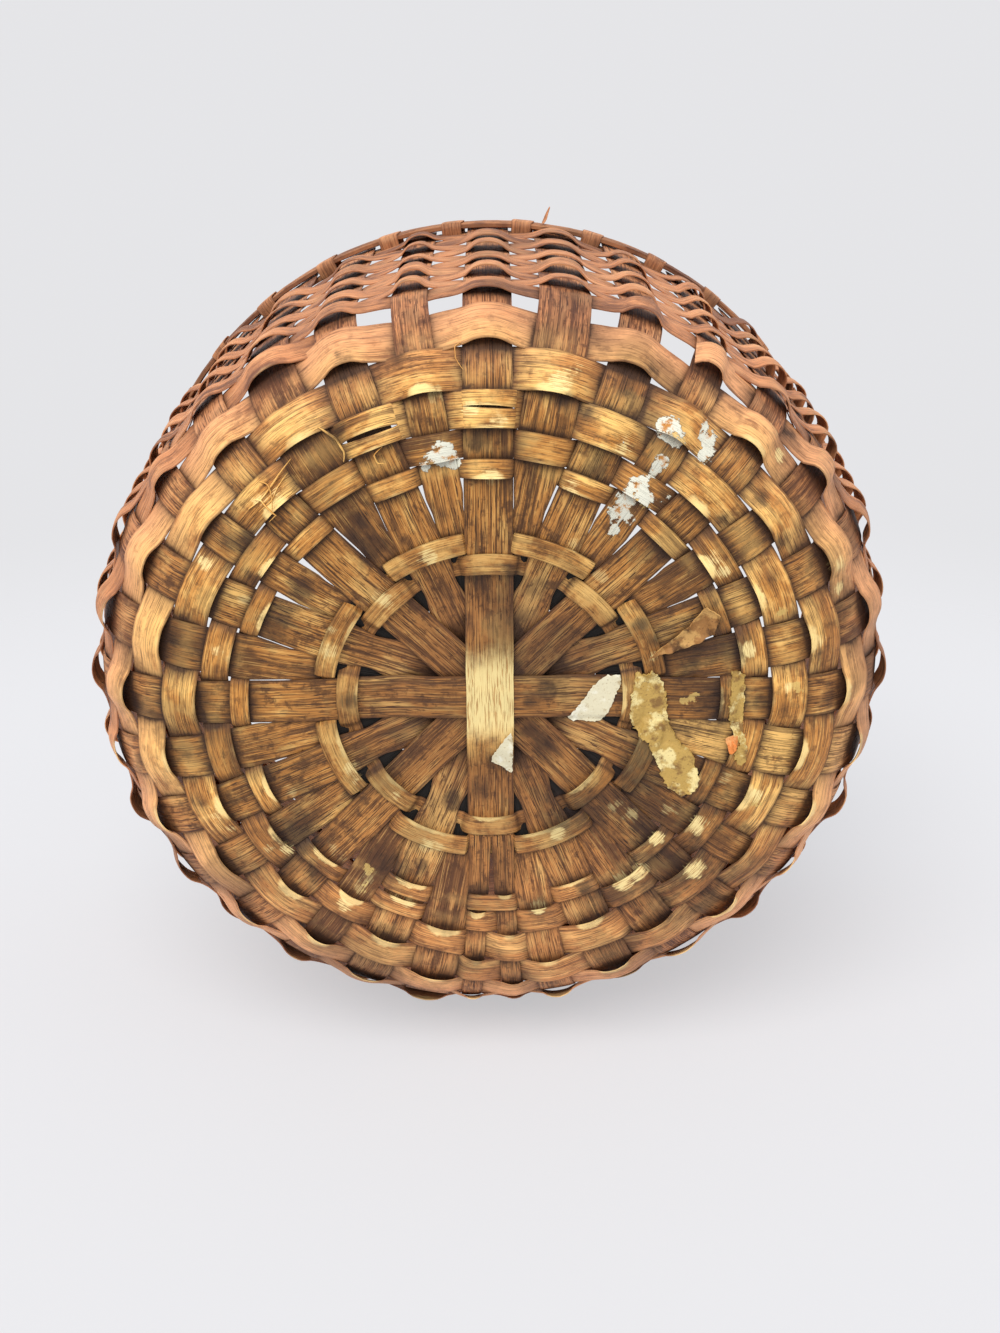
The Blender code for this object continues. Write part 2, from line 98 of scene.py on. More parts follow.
# Years of use have marked the bottom: wood rubbed bare and pale, remains of a white paper label,
# dark stains and drops of old gum. Each mark is its bearing in degrees, its distance from the
# middle along the form, and its size, both in millimetres.
marks = {
    "bared": (
        (1, 109, 3.7), (12, 153, 4.2), (14, 159, 3.2), (26, 134, 3.7), (20, 109, 3.2), (56, 121, 3.7),
        (59, 121, 2.8), (46, 180, 3.7), (50, 175, 2.8), (69, 170, 3.7), (73, 168, 2.8), (78, 121, 3.2),
        (88, 136, 2.8), (99, 143, 2.3), (111, 134, 3.2), (110, 117, 2.3), (124, 102, 3.2),
        (123, 118, 3.7), (132, 107, 2.8), (133, 81, 2.8), (132, 89, 3.2), (132, 132, 4.2),
        (141, 115, 3.2), (146, 114, 3.7), (168, 111, 2.8), (-147, 109, 3.6), (-147, 116, 2.8),
        (-159, 112, 2.8), (-156, 112, 2.3), (-146, 128, 3.2), (-138, 108, 2.8), (-135, 106, 2.3),
        (-128, 123, 2.8), (-125, 129, 2.3), (-116, 105, 2.8), (-138, 67, 2.3), (-158, 81, 3.2),
        (-162, 81, 2.3), (-118, 73, 3.2), (-122, 74, 2.3), (-71, 78, 3.2), (-64, 80, 2.8),
        (-44, 69, 3.7), (-22, 76, 3.7), (-46, 141, 3.2), (-43, 138, 2.6), (-66, 121, 2.8),
        (-78, 126, 2.3), (-62, 144, 3.2), (-118, 138, 2.3), (-114, 141, 2.3), (155, 78, 3.2),
        (27, 84, 2.8), (40, 78, 2.8), (-9, 147, 3.2), (2, 134, 3.2), (-3, 139, 2.8), (74, 78, 2.8),
        (80, 152, 2.8),
    ),
    "papered": (
        (32, 150, 4.0), (34, 148, 3.4), (37, 160, 2.6), (39, 155, 4.0), (40, 150, 3.0), (34, 136, 2.6),
        (34, 131, 2.3), (33, 122, 4.2), (33, 115, 4.6), (33, 108, 4.4), (36, 107, 2.6), (34, 99, 2.3),
        (36, 120, 3.6), (39, 124, 2.3), (-10, 121, 4.2), (-8, 117, 3.2), (-12, 120, 2.6),
        (-14, 117, 2.1), (118, 103, 1.6), (25, 136, 2.1),
    ),
    "gummed": (
        (88, 139, 2.8), (112, 134, 2.8), (-146, 106, 2.8), (-148, 115, 2.3), (90, 92, 3.2),
        (72, 137, 2.3), (36, 118, 3.7),
    ),
    "stained": (
        (125, 95, 27.0), (134, 122, 22.0), (108, 82, 14.0), (140, 75, 14.0), (-126, 114, 12.0),
        (150, 120, 10.0), (-150, 100, 9.0), (70, 104, 10.0), (-67, 104, 7.5), (-36, 92, 6.0),
        (120, 73, 8.6), (125, 89, 9.5), (116, 104, 8.6), (123, 132, 8.5), (132, 121, 8.6),
        (114, 77, 6.6), (134, 36, 6.6), (133, 26, 3.7), (77, 98, 9.5), (75, 109, 9.0), (78, 114, 5.7),
        (91, 102, 8.5), (90, 112, 5.2), (62, 77, 2.8), (69, 80, 2.3), (65, 137, 3.7), (-124, 109, 5.6),
        (-136, 120, 5.6), (-131, 130, 3.7), (-130, 118, 4.2), (168, 111, 4.6), (155, 110, 4.2),
        (-54, 134, 4.2), (-57, 140, 3.7), (-57, 101, 5.1), (-60, 120, 4.2), (-27, 145, 4.2),
        (-22, 174, 4.2), (-14, 166, 3.2), (-36, 190, 3.7), (-32, 183, 3.7), (-2, 125, 3.7),
        (0, 129, 3.7), (-5, 58, 4.2), (9, 64, 3.2), (-17, 39, 2.8), (24, 121, 4.6), (13, 145, 3.2),
        (18, 142, 3.7), (23, 160, 4.2), (25, 170, 3.7), (172, 33, 4.6), (-174, 48, 4.6), (84, 26, 3.7),
        (97, 19, 3.2), (-38, 100, 4.2), (-33, 105, 3.7), (148, 62, 4.6), (139, 69, 3.7),
        (90, 123, 3.2), (58, 93, 2.8), (65, 104, 2.8), (-159, 94, 3.7), (-162, 56, 3.7),
        (-89, 130, 2.8), (-91, 166, 3.7), (-102, 171, 3.2), (-110, 144, 3.7), (-78, 147, 3.7),
        (-90, 65, 3.2), (82, 151, 3.7), (91, 157, 3.7), (77, 168, 3.7), (60, 149, 3.2), (52, 153, 3.2),
        (50, 133, 3.2), (49, 191, 3.7),
    ),
}


def marked(points, spots):
    """1 in the middle of a spot, a half at its edge and 0 at twice its size."""
    bearing, along, size = np.array(spots, float).T
    value = np.zeros(len(points))
    for middle, radius in zip(on_form(np.radians(bearing), along / 1000, 0.0, 0.0015), size / 1000):
        value = np.maximum(value, 1 - np.linalg.norm(points - middle, axis=1) / (2 * radius))
    return np.clip(value, 0.0, 1.0)


def leave_marks(mesh):
    points = np.empty(len(mesh.vertices) * 3, np.float32)
    mesh.vertices.foreach_get("co", points)
    for name, spots in marks.items():
        layer = mesh.attributes.new(name, "FLOAT", "POINT")
        layer.data.foreach_set("value", marked(points.reshape(-1, 3), spots).astype(np.float32))


# The sweep that makes a splint from its path and a flat section with softened edges.
splint_thickness = 0.0010
section_cells = 5
soft_up_to = 50 * pi / 180


def new_node(tree, kind, **settings):
    node = tree.nodes.new(kind)
    for name, value in settings.items():
        setattr(node, name, value)
    return node


def set_inputs(tree, node, values):
    for key, value in values.items():
        if isinstance(value, bpy.types.NodeSocket):
            tree.links.new(value, node.inputs[key])
        else:
            node.inputs[key].default_value = value
    return node


def add_node(tree, kind, values=None, **settings):
    return set_inputs(tree, new_node(tree, kind, **settings), values or {})


def maths(tree, operation, *values, **settings):
    node = new_node(tree, "ShaderNodeMath", operation=operation, **settings)
    return set_inputs(tree, node, dict(enumerate(values))).outputs[0]


def sums(tree):
    """Times, plus and less, as nodes of this tree."""
    return [partial(maths, tree, operation) for operation in ("MULTIPLY", "ADD", "SUBTRACT")]


def joined(tree, *values):
    return add_node(tree, "ShaderNodeCombineXYZ", dict(enumerate(values))).outputs[0]


def splint_tree():
    """The sweep: each path point carries its centre, its two directions and its half width."""
    tree = bpy.data.node_groups.new("splint along a path", "GeometryNodeTree")
    times, plus, less = sums(tree)
    face = tree.interface
    face.new_socket("Path", in_out="INPUT", socket_type="NodeSocketGeometry")
    sizes = {}
    for name in ("Thickness", "Ripple", "Cup", "Edge wander", "Seed"):
        sizes[name] = face.new_socket(name, in_out="INPUT", socket_type="NodeSocketFloat").identifier
    wood = face.new_socket("Wood", in_out="INPUT", socket_type="NodeSocketMaterial")
    sizes["Wood"] = wood.identifier
    face.new_socket("Splint", in_out="OUTPUT", socket_type="NodeSocketGeometry")
    given = tree.nodes.new("NodeGroupInput").outputs

    def attribute(name, kind="FLOAT"):
        found = add_node(tree, "GeometryNodeInputNamedAttribute", {"Name": name}, data_type=kind)
        return found.outputs["Attribute"]

    def stored(shape, name, value, kind):
        values = {"Geometry": shape, "Name": name, "Value": value}
        kept = add_node(tree, "GeometryNodeStoreNamedAttribute", values, data_type=kind, domain="POINT")
        return kept.outputs[0]

    def shifted(place, direction, amount):
        node = new_node(tree, "ShaderNodeVectorMath", operation="SCALE")
        set_inputs(tree, node, {0: attribute(direction, "FLOAT_VECTOR"), "Scale": amount})
        added = new_node(tree, "ShaderNodeVectorMath", operation="ADD")
        return set_inputs(tree, added, {0: place, 1: node.outputs[0]}).outputs[0]

    def noise(place, scale, detail):
        values = {"Vector": place, "Scale": scale, "Detail": detail}
        return less(add_node(tree, "ShaderNodeTexNoise", values).outputs[0], 0.5)

    path = add_node(tree, "GeometryNodeMeshToCurve", {"Mesh": given["Path"]})
    square = {"Width": 2.0, "Height": 2.0}
    outline = add_node(tree, "GeometryNodeCurvePrimitiveQuadrilateral", square)
    values = {"Curve": outline.outputs[0], "Cuts": section_cells}
    cells = add_node(tree, "GeometryNodeSubdivideCurve", values)
    position = tree.nodes.new("GeometryNodeInputPosition").outputs[0]
    profile = stored(cells.outputs[0], "section", position, "FLOAT_VECTOR")
    values = {"Curve": path.outputs[0], "Profile Curve": profile, "Fill Caps": True}
    swept = add_node(tree, "GeometryNodeCurveToMesh", values)

    section = add_node(tree, "ShaderNodeSeparateXYZ", {0: attribute("section", "FLOAT_VECTOR")}).outputs
    run = attribute("run")
    edge = maths(tree, "SIGN", section[0])
    wander = noise(joined(tree, run, times(edge, 0.3), given["Seed"]), 45.0, 3.0)
    reach = times(attribute("half"), plus(1.0, times(wander, given["Edge wander"])))
    across = times(section[0], reach)
    ripple = times(noise(joined(tree, run, across, given["Seed"]), 90.0, 2.0), given["Ripple"])
    crown = times(given["Cup"], less(0.4, times(section[0], section[0])))
    body = times(section[1], times(times(given["Thickness"], 0.5), attribute("thin")))
    rounding = maths(tree, "POWER", maths(tree, "ABSOLUTE", section[0]), 8.0)
    soft_edge = less(1.0, times(rounding, 0.45))
    curl = maths(tree, "MAXIMUM", less(times(section[0], -1.25), 0.25), 0.0)
    curl = times(attribute("lip"), times(curl, curl))
    lift = plus(times(body, soft_edge), plus(plus(ripple, crown), curl))
    moved = shifted(attribute("centre", "FLOAT_VECTOR"), "side", across)
    moved = shifted(moved, "out", lift)
    placed = add_node(tree, "GeometryNodeSetPosition", {"Geometry": swept.outputs[0], "Position": moved})
    kept = stored(placed.outputs[0], "across", across, "FLOAT")
    whole = add_node(tree, "GeometryNodeRealizeInstances", {"Geometry": kept})
    values = {"Geometry": whole.outputs[0], "Material": given["Wood"]}
    dressed = add_node(tree, "GeometryNodeSetMaterial", values)
    out = tree.nodes.new("NodeGroupOutput")
    tree.links.new(dressed.outputs[0], out.inputs[0])
    return tree, sizes


sweep, sweep_sockets = splint_tree()


def unit(vectors):
    return vectors / np.maximum(np.linalg.norm(vectors, axis=-1, keepdims=True), 1e-12)


def path_frames(centre, side, outward):
    """Two square directions at every point of a path: across the strip and out of its face."""
    tangent = unit(np.gradient(centre, axis=0))
    side = unit(side - tangent * np.sum(side * tangent, axis=1, keepdims=True))
    out = np.cross(tangent, side)
    out *= np.sign(np.sum(out * outward, axis=1, keepdims=True))
    return side, out


def path_length(centre):
    steps = np.linalg.norm(np.diff(centre, axis=0), axis=1)
    return np.concatenate([[0.0], np.cumsum(steps)])


def path(centre, side, outward, half, worn=0.0, grimy=0.0, thin=1.0, lip=0.0, run_start=0.0):
    """What the sweep reads, for one unbroken stretch of a strip."""
    side, out = path_frames(centre, side, outward)
    count = len(centre)
    values = {"centre": centre, "side": side, "out": out, "run": run_start + path_length(centre)}
    for name, given in (("half", half), ("worn", worn), ("grimy", grimy), ("thin", thin), ("lip", lip)):
        values[name] = np.broadcast_to(np.asarray(given, float), (count,))
    return values


sweep_reads = {key: "FLOAT_VECTOR" for key in ("centre", "side", "out")}
sweep_reads.update({key: "FLOAT" for key in ("half", "run", "worn", "grimy", "thin", "lip")})


def finished_piece(rough, name, replaced, material=None):
    """Turns a rough mesh into the piece itself, with its faces outwards and its edges soft."""
    graph = bpy.context.evaluated_depsgraph_get()
    made = bpy.data.meshes.new_from_object(rough.evaluated_get(graph))
    bpy.data.objects.remove(rough)
    shape = bmesh.new()
    shape.from_mesh(made)
    bmesh.ops.recalc_face_normals(shape, faces=shape.faces)
    shape.to_mesh(made)
    shape.free()
    if material:
        made.materials.clear()
        made.materials.append(material)
    made.shade_smooth()
    made.set_sharp_from_angle(angle=soft_up_to)
    made.name = name
    piece = bpy.data.objects.new(name, made)
    bpy.context.scene.collection.objects.link(piece)
    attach(piece, "root")
    if replaced:
        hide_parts(replaced)
    return made


def sweep_splint(node, paths, wood, thickness=splint_thickness, ripple=0.0003, cup=0.0, wander=0.05):
    """One piece of wood from one or more stretches, with its own grain, in place of its node."""
    name = node + "_ash"
    seed = (sum(ord(letter) * (place + 1) for place, letter in enumerate(name)) % 997) / 7.0
    mesh = bpy.data.meshes.new(name)
    whole = {key: np.concatenate([stretch[key] for stretch in paths]) for key in sweep_reads}
    edges = []
    first = 0
    for stretch in paths:
        count = len(stretch["centre"])
        edges += [(first + step, first + step + 1) for step in range(count - 1)]
        first += count
    mesh.from_pydata(whole["centre"].tolist(), edges, [])
    for key, kind in sweep_reads.items():
        layer = mesh.attributes.new(key, kind, "POINT")
        values = whole[key].astype(np.float32).ravel()
        layer.data.foreach_set("vector" if kind == "FLOAT_VECTOR" else "value", values)
    rough = bpy.data.objects.new(name + "_path", mesh)
    bpy.context.scene.collection.objects.link(rough)
    modifier = rough.modifiers.new("sweep", "NODES")
    modifier.node_group = sweep
    given = {"Thickness": thickness, "Ripple": ripple, "Cup": cup, "Edge wander": wander}
    for key, value in {**given, "Seed": seed, "Wood": wood}.items():
        modifier[sweep_sockets[key]] = value
    made = finished_piece(rough, name, node)
    layer = made.attributes.new("seed", "FLOAT", "POINT")
    layer.data.foreach_set("value", np.full(len(made.vertices), seed, np.float32))
    leave_marks(made)


# The finish of the ash: raw wood gone brown with age, darker and greener under the bottom,
# redder on the wall, with open grain, dark stains, and pale edges that are partly rubbed wear and
# partly a painted highlight. Painted shade darkens it in the hollows of the weave.
bottom_brown = (0.450, 0.190, 0.040)
bottom_pale = (0.900, 0.545, 0.165)
bottom_dark = (0.075, 0.032, 0.012)
wall_brown = (0.590, 0.243, 0.103)
wall_pale = (0.800, 0.390, 0.180)
wall_dark = (0.120, 0.044, 0.026)
dirt_and_shade_brown = (0.022, 0.011, 0.009)
painted_shade_black = (0.006, 0.004, 0.003)
bare_cream = (0.82, 0.66, 0.30)
paper_white = (0.62, 0.61, 0.51)
gum_yellow = (0.52, 0.35, 0.11)
redder_from = -0.004
redder_to = 0.034


def old_ash(name, lightness, stain, pale_share, grain, redness=0.0, bare_share=0.75):
    wood = bpy.data.materials.new(name)
    wood.use_nodes = True
    tree = wood.node_tree
    shader = tree.nodes["Principled BSDF"]
    times, plus, less = sums(tree)

    def attribute(key, output="Fac"):
        return new_node(tree, "ShaderNodeAttribute", attribute_name=key).outputs[output]

    def noise(place, detail, roughness, scale=1.0, distortion=0.0):
        values = {"Vector": place, "Scale": scale, "Detail": detail, "Roughness": roughness}
        values["Distortion"] = distortion
        return add_node(tree, "ShaderNodeTexNoise", values).outputs[0]

    def parts(value):
        return add_node(tree, "ShaderNodeSeparateXYZ", {0: value}).outputs

    def scaled(place, *factors):
        values = {0: place, 1: factors}
        return add_node(tree, "ShaderNodeVectorMath", values, operation="MULTIPLY").outputs[0]

    def between(value, low, high):
        values = {"Value": value, "From Min": low, "From Max": high}
        return add_node(tree, "ShaderNodeMapRange", values, interpolation_type="SMOOTHSTEP").outputs[0]

    def blend(amount, first, second):
        node = new_node(tree, "ShaderNodeMix", data_type="RGBA")
        for key, value in {0: amount, 6: first, 7: second}.items():
            set_inputs(tree, node, {key: (*value, 1.0) if isinstance(value, tuple) else value})
        return node.outputs[2]

    def swing(value, amount):
        """A noise about its middle."""
        return times(less(value, 0.5), amount)

    seed = times(attribute("seed"), 13.7)
    grain_place = joined(tree, attribute("run"), attribute("across"), seed)
    place = new_node(tree, "ShaderNodeTexCoord").outputs["Object"]
    corner = parts(place)
    section = parts(attribute("section", "Vector"))
    edge = section[0]
    outer_face = between(section[1], -0.9, -0.5)

    lines = noise(scaled(grain_place, 40.0, 1900.0, 1.0), 2.0, 0.5)
    pores = noise(scaled(grain_place, 120.0, 2300.0, 1.0), 1.0, 0.5)
    furrows = noise(scaled(grain_place, 13.0, 640.0, 1.0), 3.0, 0.55)
    bands = noise(scaled(grain_place, 20.0, 120.0, 1.0), 4.0, 0.6, distortion=0.6)
    blotches = noise(place, 5.0, 0.62, scale=48.0)
    flecks = noise(place, 4.0, 0.65, scale=210.0)
    wide = noise(place, 3.0, 0.55, scale=17.0)
    own = noise(joined(tree, seed), 0.0, 0.5, scale=3.0)

    far_side = between(corner[1], 0.03, 0.13)
    red = plus(between(corner[2], redder_from, redder_to), redness)
    red = plus(red, times(far_side, 0.4), use_clamp=True)
    brown = blend(red, bottom_brown, wall_brown)
    pale = blend(red, bottom_pale, wall_pale)
    dark = blend(red, bottom_dark, wall_dark)

    tone = plus(plus(times(bands, 0.5), times(blotches, 0.5)), swing(own, 0.7))
    mottled = plus(times(flecks, 0.6), times(bands, 0.4))
    trimmed = maths(tree, "ABSOLUTE", edge)
    from_axis = scaled(place, 1.0, 1.0, 0.0)
    from_axis = add_node(tree, "ShaderNodeVectorMath", {0: from_axis}, operation="LENGTH").outputs["Value"]
    colour = brown
    for sign, low, high, amount, other in (
        (tone, 0.50, 0.64, 0.85, pale),
        (tone, 0.50, 0.36, 0.80, dark),
        (lines, 0.50, 0.36, 0.42 * grain, dark),
        (lines, 0.55, 0.68, 0.35, pale),
        (furrows, 0.45, 0.37, 0.42 * grain, dark),
        (mottled, 0.48, 0.38, 0.42 * grain, dark),
        (pores, 0.42, 0.34, 0.55 * grain, dark),
        # Painted shade and dirt: a dark line along both edges of each strip.
        (trimmed, 0.86, 0.98, less(0.75, times(red, 0.35)), dark),
        # Painted shade: darker towards the middle of the bottom, for the crossing's deep hollows.
        (from_axis, 0.095, 0.035, 0.38, dark),
    ):
        colour = blend(times(between(sign, low, high), amount), colour, other)

    worn = times(attribute("worn"), between(blotches, 0.42, 0.60))
    colour = blend(times(worn, pale_share, use_clamp=True), colour, pale)
    # Painted highlight and wear: a pale cream crescent along the curled inner edge, where the lifted lip
    # catches the light and is rubbed.
    lip = attribute("lip")
    lip_line = less(plus(edge, swing(flecks, 0.7)), times(lip, 380.0))
    lip_highlight_and_wear = times(between(lip_line, -0.88, -1.10), between(lip, 0.0003, 0.0010))
    colour = blend(times(lip_highlight_and_wear, 0.9), colour, blend(0.6, pale, bare_cream))

    patchy = plus(times(wide, 0.55), times(blotches, 0.45))
    patchy = plus(patchy, times(far_side, 0.05))
    # Painted shade and dirt: the wood is darkened towards a dark brown where strips lie in hollows, beside
    # rows and under other strips, together with blotchy stains.
    dirt_and_shade = times(attribute("grimy"), plus(0.15, plus(times(bands, 0.9), lines)))
    dirt_and_shade = times(dirt_and_shade, plus(0.25, times(outer_face, 0.75)))
    dirt_and_shade = times(dirt_and_shade, less(1.0, times(far_side, 0.45)))
    dirt_and_shade = plus(times(between(patchy, 0.50, 0.62), stain), dirt_and_shade, use_clamp=True)
    colour = blend(times(dirt_and_shade, 0.96), colour, blend(0.04, dirt_and_shade_brown, brown))
    # Painted shade: where that darkening runs past its full amount, in the deepest gaps, the wood turns
    # near black.
    colour = blend(between(attribute("grimy"), 1.02, 1.25), colour, painted_shade_black)

    broken = plus(plus(swing(flecks, 2.6), swing(blotches, 2.2)), swing(lines, 0.8))
    streaked = plus(plus(swing(lines, 1.7), swing(blotches, 1.8)), swing(flecks, 1.2))
    inner_side = times(times(lip, 900.0, use_clamp=True), times(edge, -0.35))

    def spot(key, low, high, noise=broken, also=0.0):
        """Its noise counts only near the mark."""
        found = attribute(key)
        ragged = plus(found, times(plus(noise, also), between(found, 0.02, 0.35)))
        return times(between(ragged, low, high), outer_face)

    colour = blend(times(spot("stained", 0.05, 0.95, streaked), 0.80), colour, dirt_and_shade_brown)
    colour = blend(times(spot("gummed", 0.40, 0.52), 0.85), colour, gum_yellow)
    bared = times(spot("bared", 0.34, 0.80, streaked, inner_side), bare_share)
    through = plus(attribute("worn"), times(streaked, 0.35))
    bared = maths(tree, "MAXIMUM", bared, times(between(through, 0.9, 2.2), 0.92))
    dashes = times(between(pores, 0.46, 0.36), 0.7)
    colour = blend(bared, colour, blend(dashes, bare_cream, brown))
    paper = spot("papered", 0.36, 0.46, times(broken, 0.6))
    colour = blend(paper, colour, blend(between(flecks, 0.50, 0.38), paper_white, brown))
    level = add_node(tree, "ShaderNodeHueSaturation", {"Value": lightness, "Color": colour})
    tree.links.new(level.outputs[0], shader.inputs["Base Color"])

    rough = plus(plus(0.44, times(lines, 0.24)), times(dirt_and_shade, 0.1))
    tree.links.new(plus(rough, times(paper, 0.3)), shader.inputs["Roughness"])
    shader.inputs["Specular IOR Level"].default_value = 0.27
    relief = plus(times(lines, 0.5), times(between(pores, 0.42, 0.27), -0.5))
    relief = plus(relief, less(times(bands, 0.5), times(between(furrows, 0.45, 0.37), 0.4)))
    relief = plus(relief, times(paper, plus(0.6, times(flecks, 1.6))))
    bump = add_node(tree, "ShaderNodeBump", {"Height": relief, "Strength": 0.9, "Distance": 0.00035})
    tree.links.new(bump.outputs[0], shader.inputs["Normal"])
    return wood


# The weave's plan: where the stakes stand and where each row of the spiral runs. The widest
# splints cross under the middle, and the weaver takes its place from their widths.
splint_width = 0.0220
side_room = 0.0025
edge_clearance = 0.0003
ring_width = 0.0098
row_gap = 0.0010
stake_step = pi / 8
overlap_45 = splint_width / 2 / tan(stake_step)
overlap_22 = splint_width / 2 / tan(stake_step / 2)
level_start = overlap_22 + edge_clearance
level_run = 0.0045
ring_1 = level_start + level_run + ring_width / 2 + row_gap
first_filler_width = 0.0132
first_edge = (splint_width + first_filler_width + 2 * side_room) / stake_step
turn_widths = (0.0085, 0.0125, 0.0164)
first_row = first_edge + turn_widths[0] / 2
prong_half = (splint_width - side_room) / 4
prong_angle = 3.6 * pi / 180
slit_start = ring_1 + ring_width / 2 + 0.0006
weaver_runs = (
    (-3, 34), (34, 66), (66, 120), (120, 179), (184, 236),
    (236, 292), (292, 346), (346, 402), (402, 458), (458, 514),
)
hoop_height = 0.0120
splint_halves = (0.0110, 0.0103, 0.0099, 0.0102, 0.0104, 0.0104, 0.0098, 0.0104) * 2


def prong_middle(along):
    return np.maximum(splint_width / 2 - prong_half, form_radius(along) * tan(prong_angle))


def row_width(turns):
    width = turn_widths[0] + (turn_widths[1] - turn_widths[0]) * share(turns, 0.95, 1.05)
    return width + (turn_widths[2] - turn_widths[1]) * share(turns, 1.95, 2.05)


def row_middle(turns):
    """Each turn of the spiral lies against the one before it."""
    if turns < 1:
        return first_row + turns * ((row_width(0) + row_width(1)) / 2 + row_gap)
    return row_middle(turns - 1) + (row_width(turns - 1) + row_width(turns)) / 2 + row_gap


def passes_outside(crossing):
    return crossing % 2 == (0 if crossing < 1 else 1)


# One entry for each stake that the weaver meets, in the order of its crossings: the kind of stake
# and its number. The weaver starts at the two halves of the split splint.
stakes = [("prong", 1), ("prong", -1)]
for number in range(1, 16):
    half_turn = (8 - number) % 16
    stakes += [("filler", half_turn), ("splint", half_turn)]
stakes.append(("filler", 8))
rows_woven = {crossing for first, last in weaver_runs for crossing in range(first, last + 1)}
top_row = row_middle(weaver_runs[-1][1] / len(stakes))
hoop_bottom = top_row + turn_widths[2] / 2 + 0.0030
stake_top = hoop_bottom + hoop_height - 0.0003
stake_give = 0.0004
stake_wear = 0.8
# The painted shade and dirt beside a row, before it and after it: how dark it is, and how fast it fades.
dirt_and_shade_before = (0.95, 0.0024)
dirt_and_shade_after = (0.75, 0.0016)
less_dirt_and_shade_on_wall = 0.6
fainter_from = 0.16
fainter_to = 0.23


def fainter_up_wall(along):
    """Less painted shade and dirt on the wall than under the bottom."""
    return 1 - less_dirt_and_shade_on_wall * share(along, fainter_from, fainter_to)


def stake_sway(index, along):
    """A stake gives way a little where a weaver presses on it, is worn where it is proud, and has painted
    shade and dirt beside the rows over it.
    """
    away = np.zeros_like(along)
    worn = np.zeros_like(along)
    grimy = np.zeros_like(along)
    for crossing in range(index - len(stakes), weaver_runs[-1][1] + 1, len(stakes)):
        if crossing not in rows_woven:
            continue
        middle = row_middle(crossing / len(stakes))
        reach = (row_width(crossing / len(stakes)) + row_gap) / 2
        near = np.cos(np.clip((along - middle) / reach, -1, 1) * pi / 2) ** 2
        if passes_outside(crossing):
            away -= stake_give * near
            before = dirt_and_shade_before[0] * np.exp(-np.maximum(0.0, middle - reach - along) / dirt_and_shade_before[1])
            after = dirt_and_shade_after[0] * np.exp(-np.maximum(0.0, along - middle - reach) / dirt_and_shade_after[1])
            grimy += np.where(along < middle, before, after) * fainter_up_wall(middle)
        else:
            away += stake_give * near
            worn += stake_wear * near
    return away, worn, np.minimum(grimy, 1.0)


stake_wood = old_ash("old_ash_stakes", 1.02, stain=0.6, pale_share=0.45, grain=1.80, bare_share=0.35)
layer_rise = splint_thickness + 0.0003


def layer_inward(layer, along):
    stacked = (layer - 3.5) * layer_rise
    family = layer_rise / 2 if layer >= 4 else -layer_rise / 2
    spread = share(along, overlap_45 + edge_clearance, (overlap_45 + overlap_22) / 2)
    level = share(along, level_start, level_start + level_run)
    return (stacked + (family - stacked) * spread) * (1 - level)


def stake_index(kind, which):
    return stakes.index((kind, which))


def stake_directions(angle, along):
    """Across a stake and out of its face, level under the bottom and upright on the wall."""
    turn = share(np.abs(along), base_radius, corner_end) * pi / 2
    radial = np.array([sin(angle), -cos(angle), 0.0])
    outward = radial * (np.sin(turn) * np.sign(along))[:, None]
    outward[:, 2] = -np.cos(turn)
    side = np.tile(np.array([cos(angle), sin(angle), 0.0]), (len(along), 1))
    return side, outward


def half_splint(layer, index):
    """From the centre out to the rim."""
    along = np.arange(0.0, stake_top, stake_sample)
    away, worn, grimy = stake_sway(index, along) if index is not None else (0.0 * along,) * 3
    return along, away - layer_inward(layer, along), worn, grimy


splint_layers = [0, 4, 2, 6, 1, 3, 5, 7]
layer_painted_shade = (0.0, 0.0, 0.80, 0.80, 1.00, 1.00, 1.10, 1.10)
for layer, half_turn in enumerate(splint_layers):
    angle = half_turn * stake_step
    near = half_splint(layer, stake_index("splint", half_turn))
    far = half_splint(layer, stake_index("splint", half_turn + 8) if layer else None)
    if layer == 0:
        keep = far[0] <= slit_start + 0.002
        far = tuple(values[keep] for values in far)
    centre = np.concatenate([
        on_form(angle + pi, far[0], 0.0, far[1])[::-1],
        on_form(angle, near[0], 0.0, near[1])[1:],
    ])
    along = np.concatenate([-far[0][::-1], near[0][1:]])
    side, outward = stake_directions(angle, along)
    worn = np.concatenate([far[2][::-1], near[2][1:]])
    if layer == 0:
        rubbed = share(along, -0.034, -0.008) * (1 - share(along, 0.004, 0.043))
        worn = np.maximum(worn, 2.5 * rubbed)
    # Painted shade: the deeper layers are painted darker towards the middle, where the splints above shut
    # them in.
    shut_in = 1 - share(np.abs(along), *((0.013, 0.025) if layer < 4 else (0.027, 0.044)))
    grimy = np.maximum(np.concatenate([far[3][::-1], near[3][1:]]), layer_painted_shade[layer] * shut_in)
    waist = splint_waist * np.exp(-((np.abs(along) - waist_place) / waist_reach) ** 2)
    half = splint_halves[half_turn] - (waist if layer >= 4 else 0.0)
    stretches = [path(centre, side, outward, half, worn, grimy)]
    if layer == 0:
        for prong in (1, -1):
            along = np.arange(slit_start, stake_top, stake_sample)
            away, worn, grimy = stake_sway(stake_index("prong", prong), along)
            across = prong * prong_middle(along)
            opened = share(along, slit_start, first_edge - turn_widths[0])
            spare = (1 - opened) * (np.abs(across) - prong_half) * 0.5
            centre = on_form(pi, along, across - prong * spare, away - layer_inward(0, along))
            side, outward = stake_directions(pi, along)
            stretches.append(path(centre, side, outward, prong_half + spare, worn, grimy, run_start=0.3))
    sweep_splint(f"cross_splint_{layer + 1}", stretches, stake_wood, cup=0.0002)


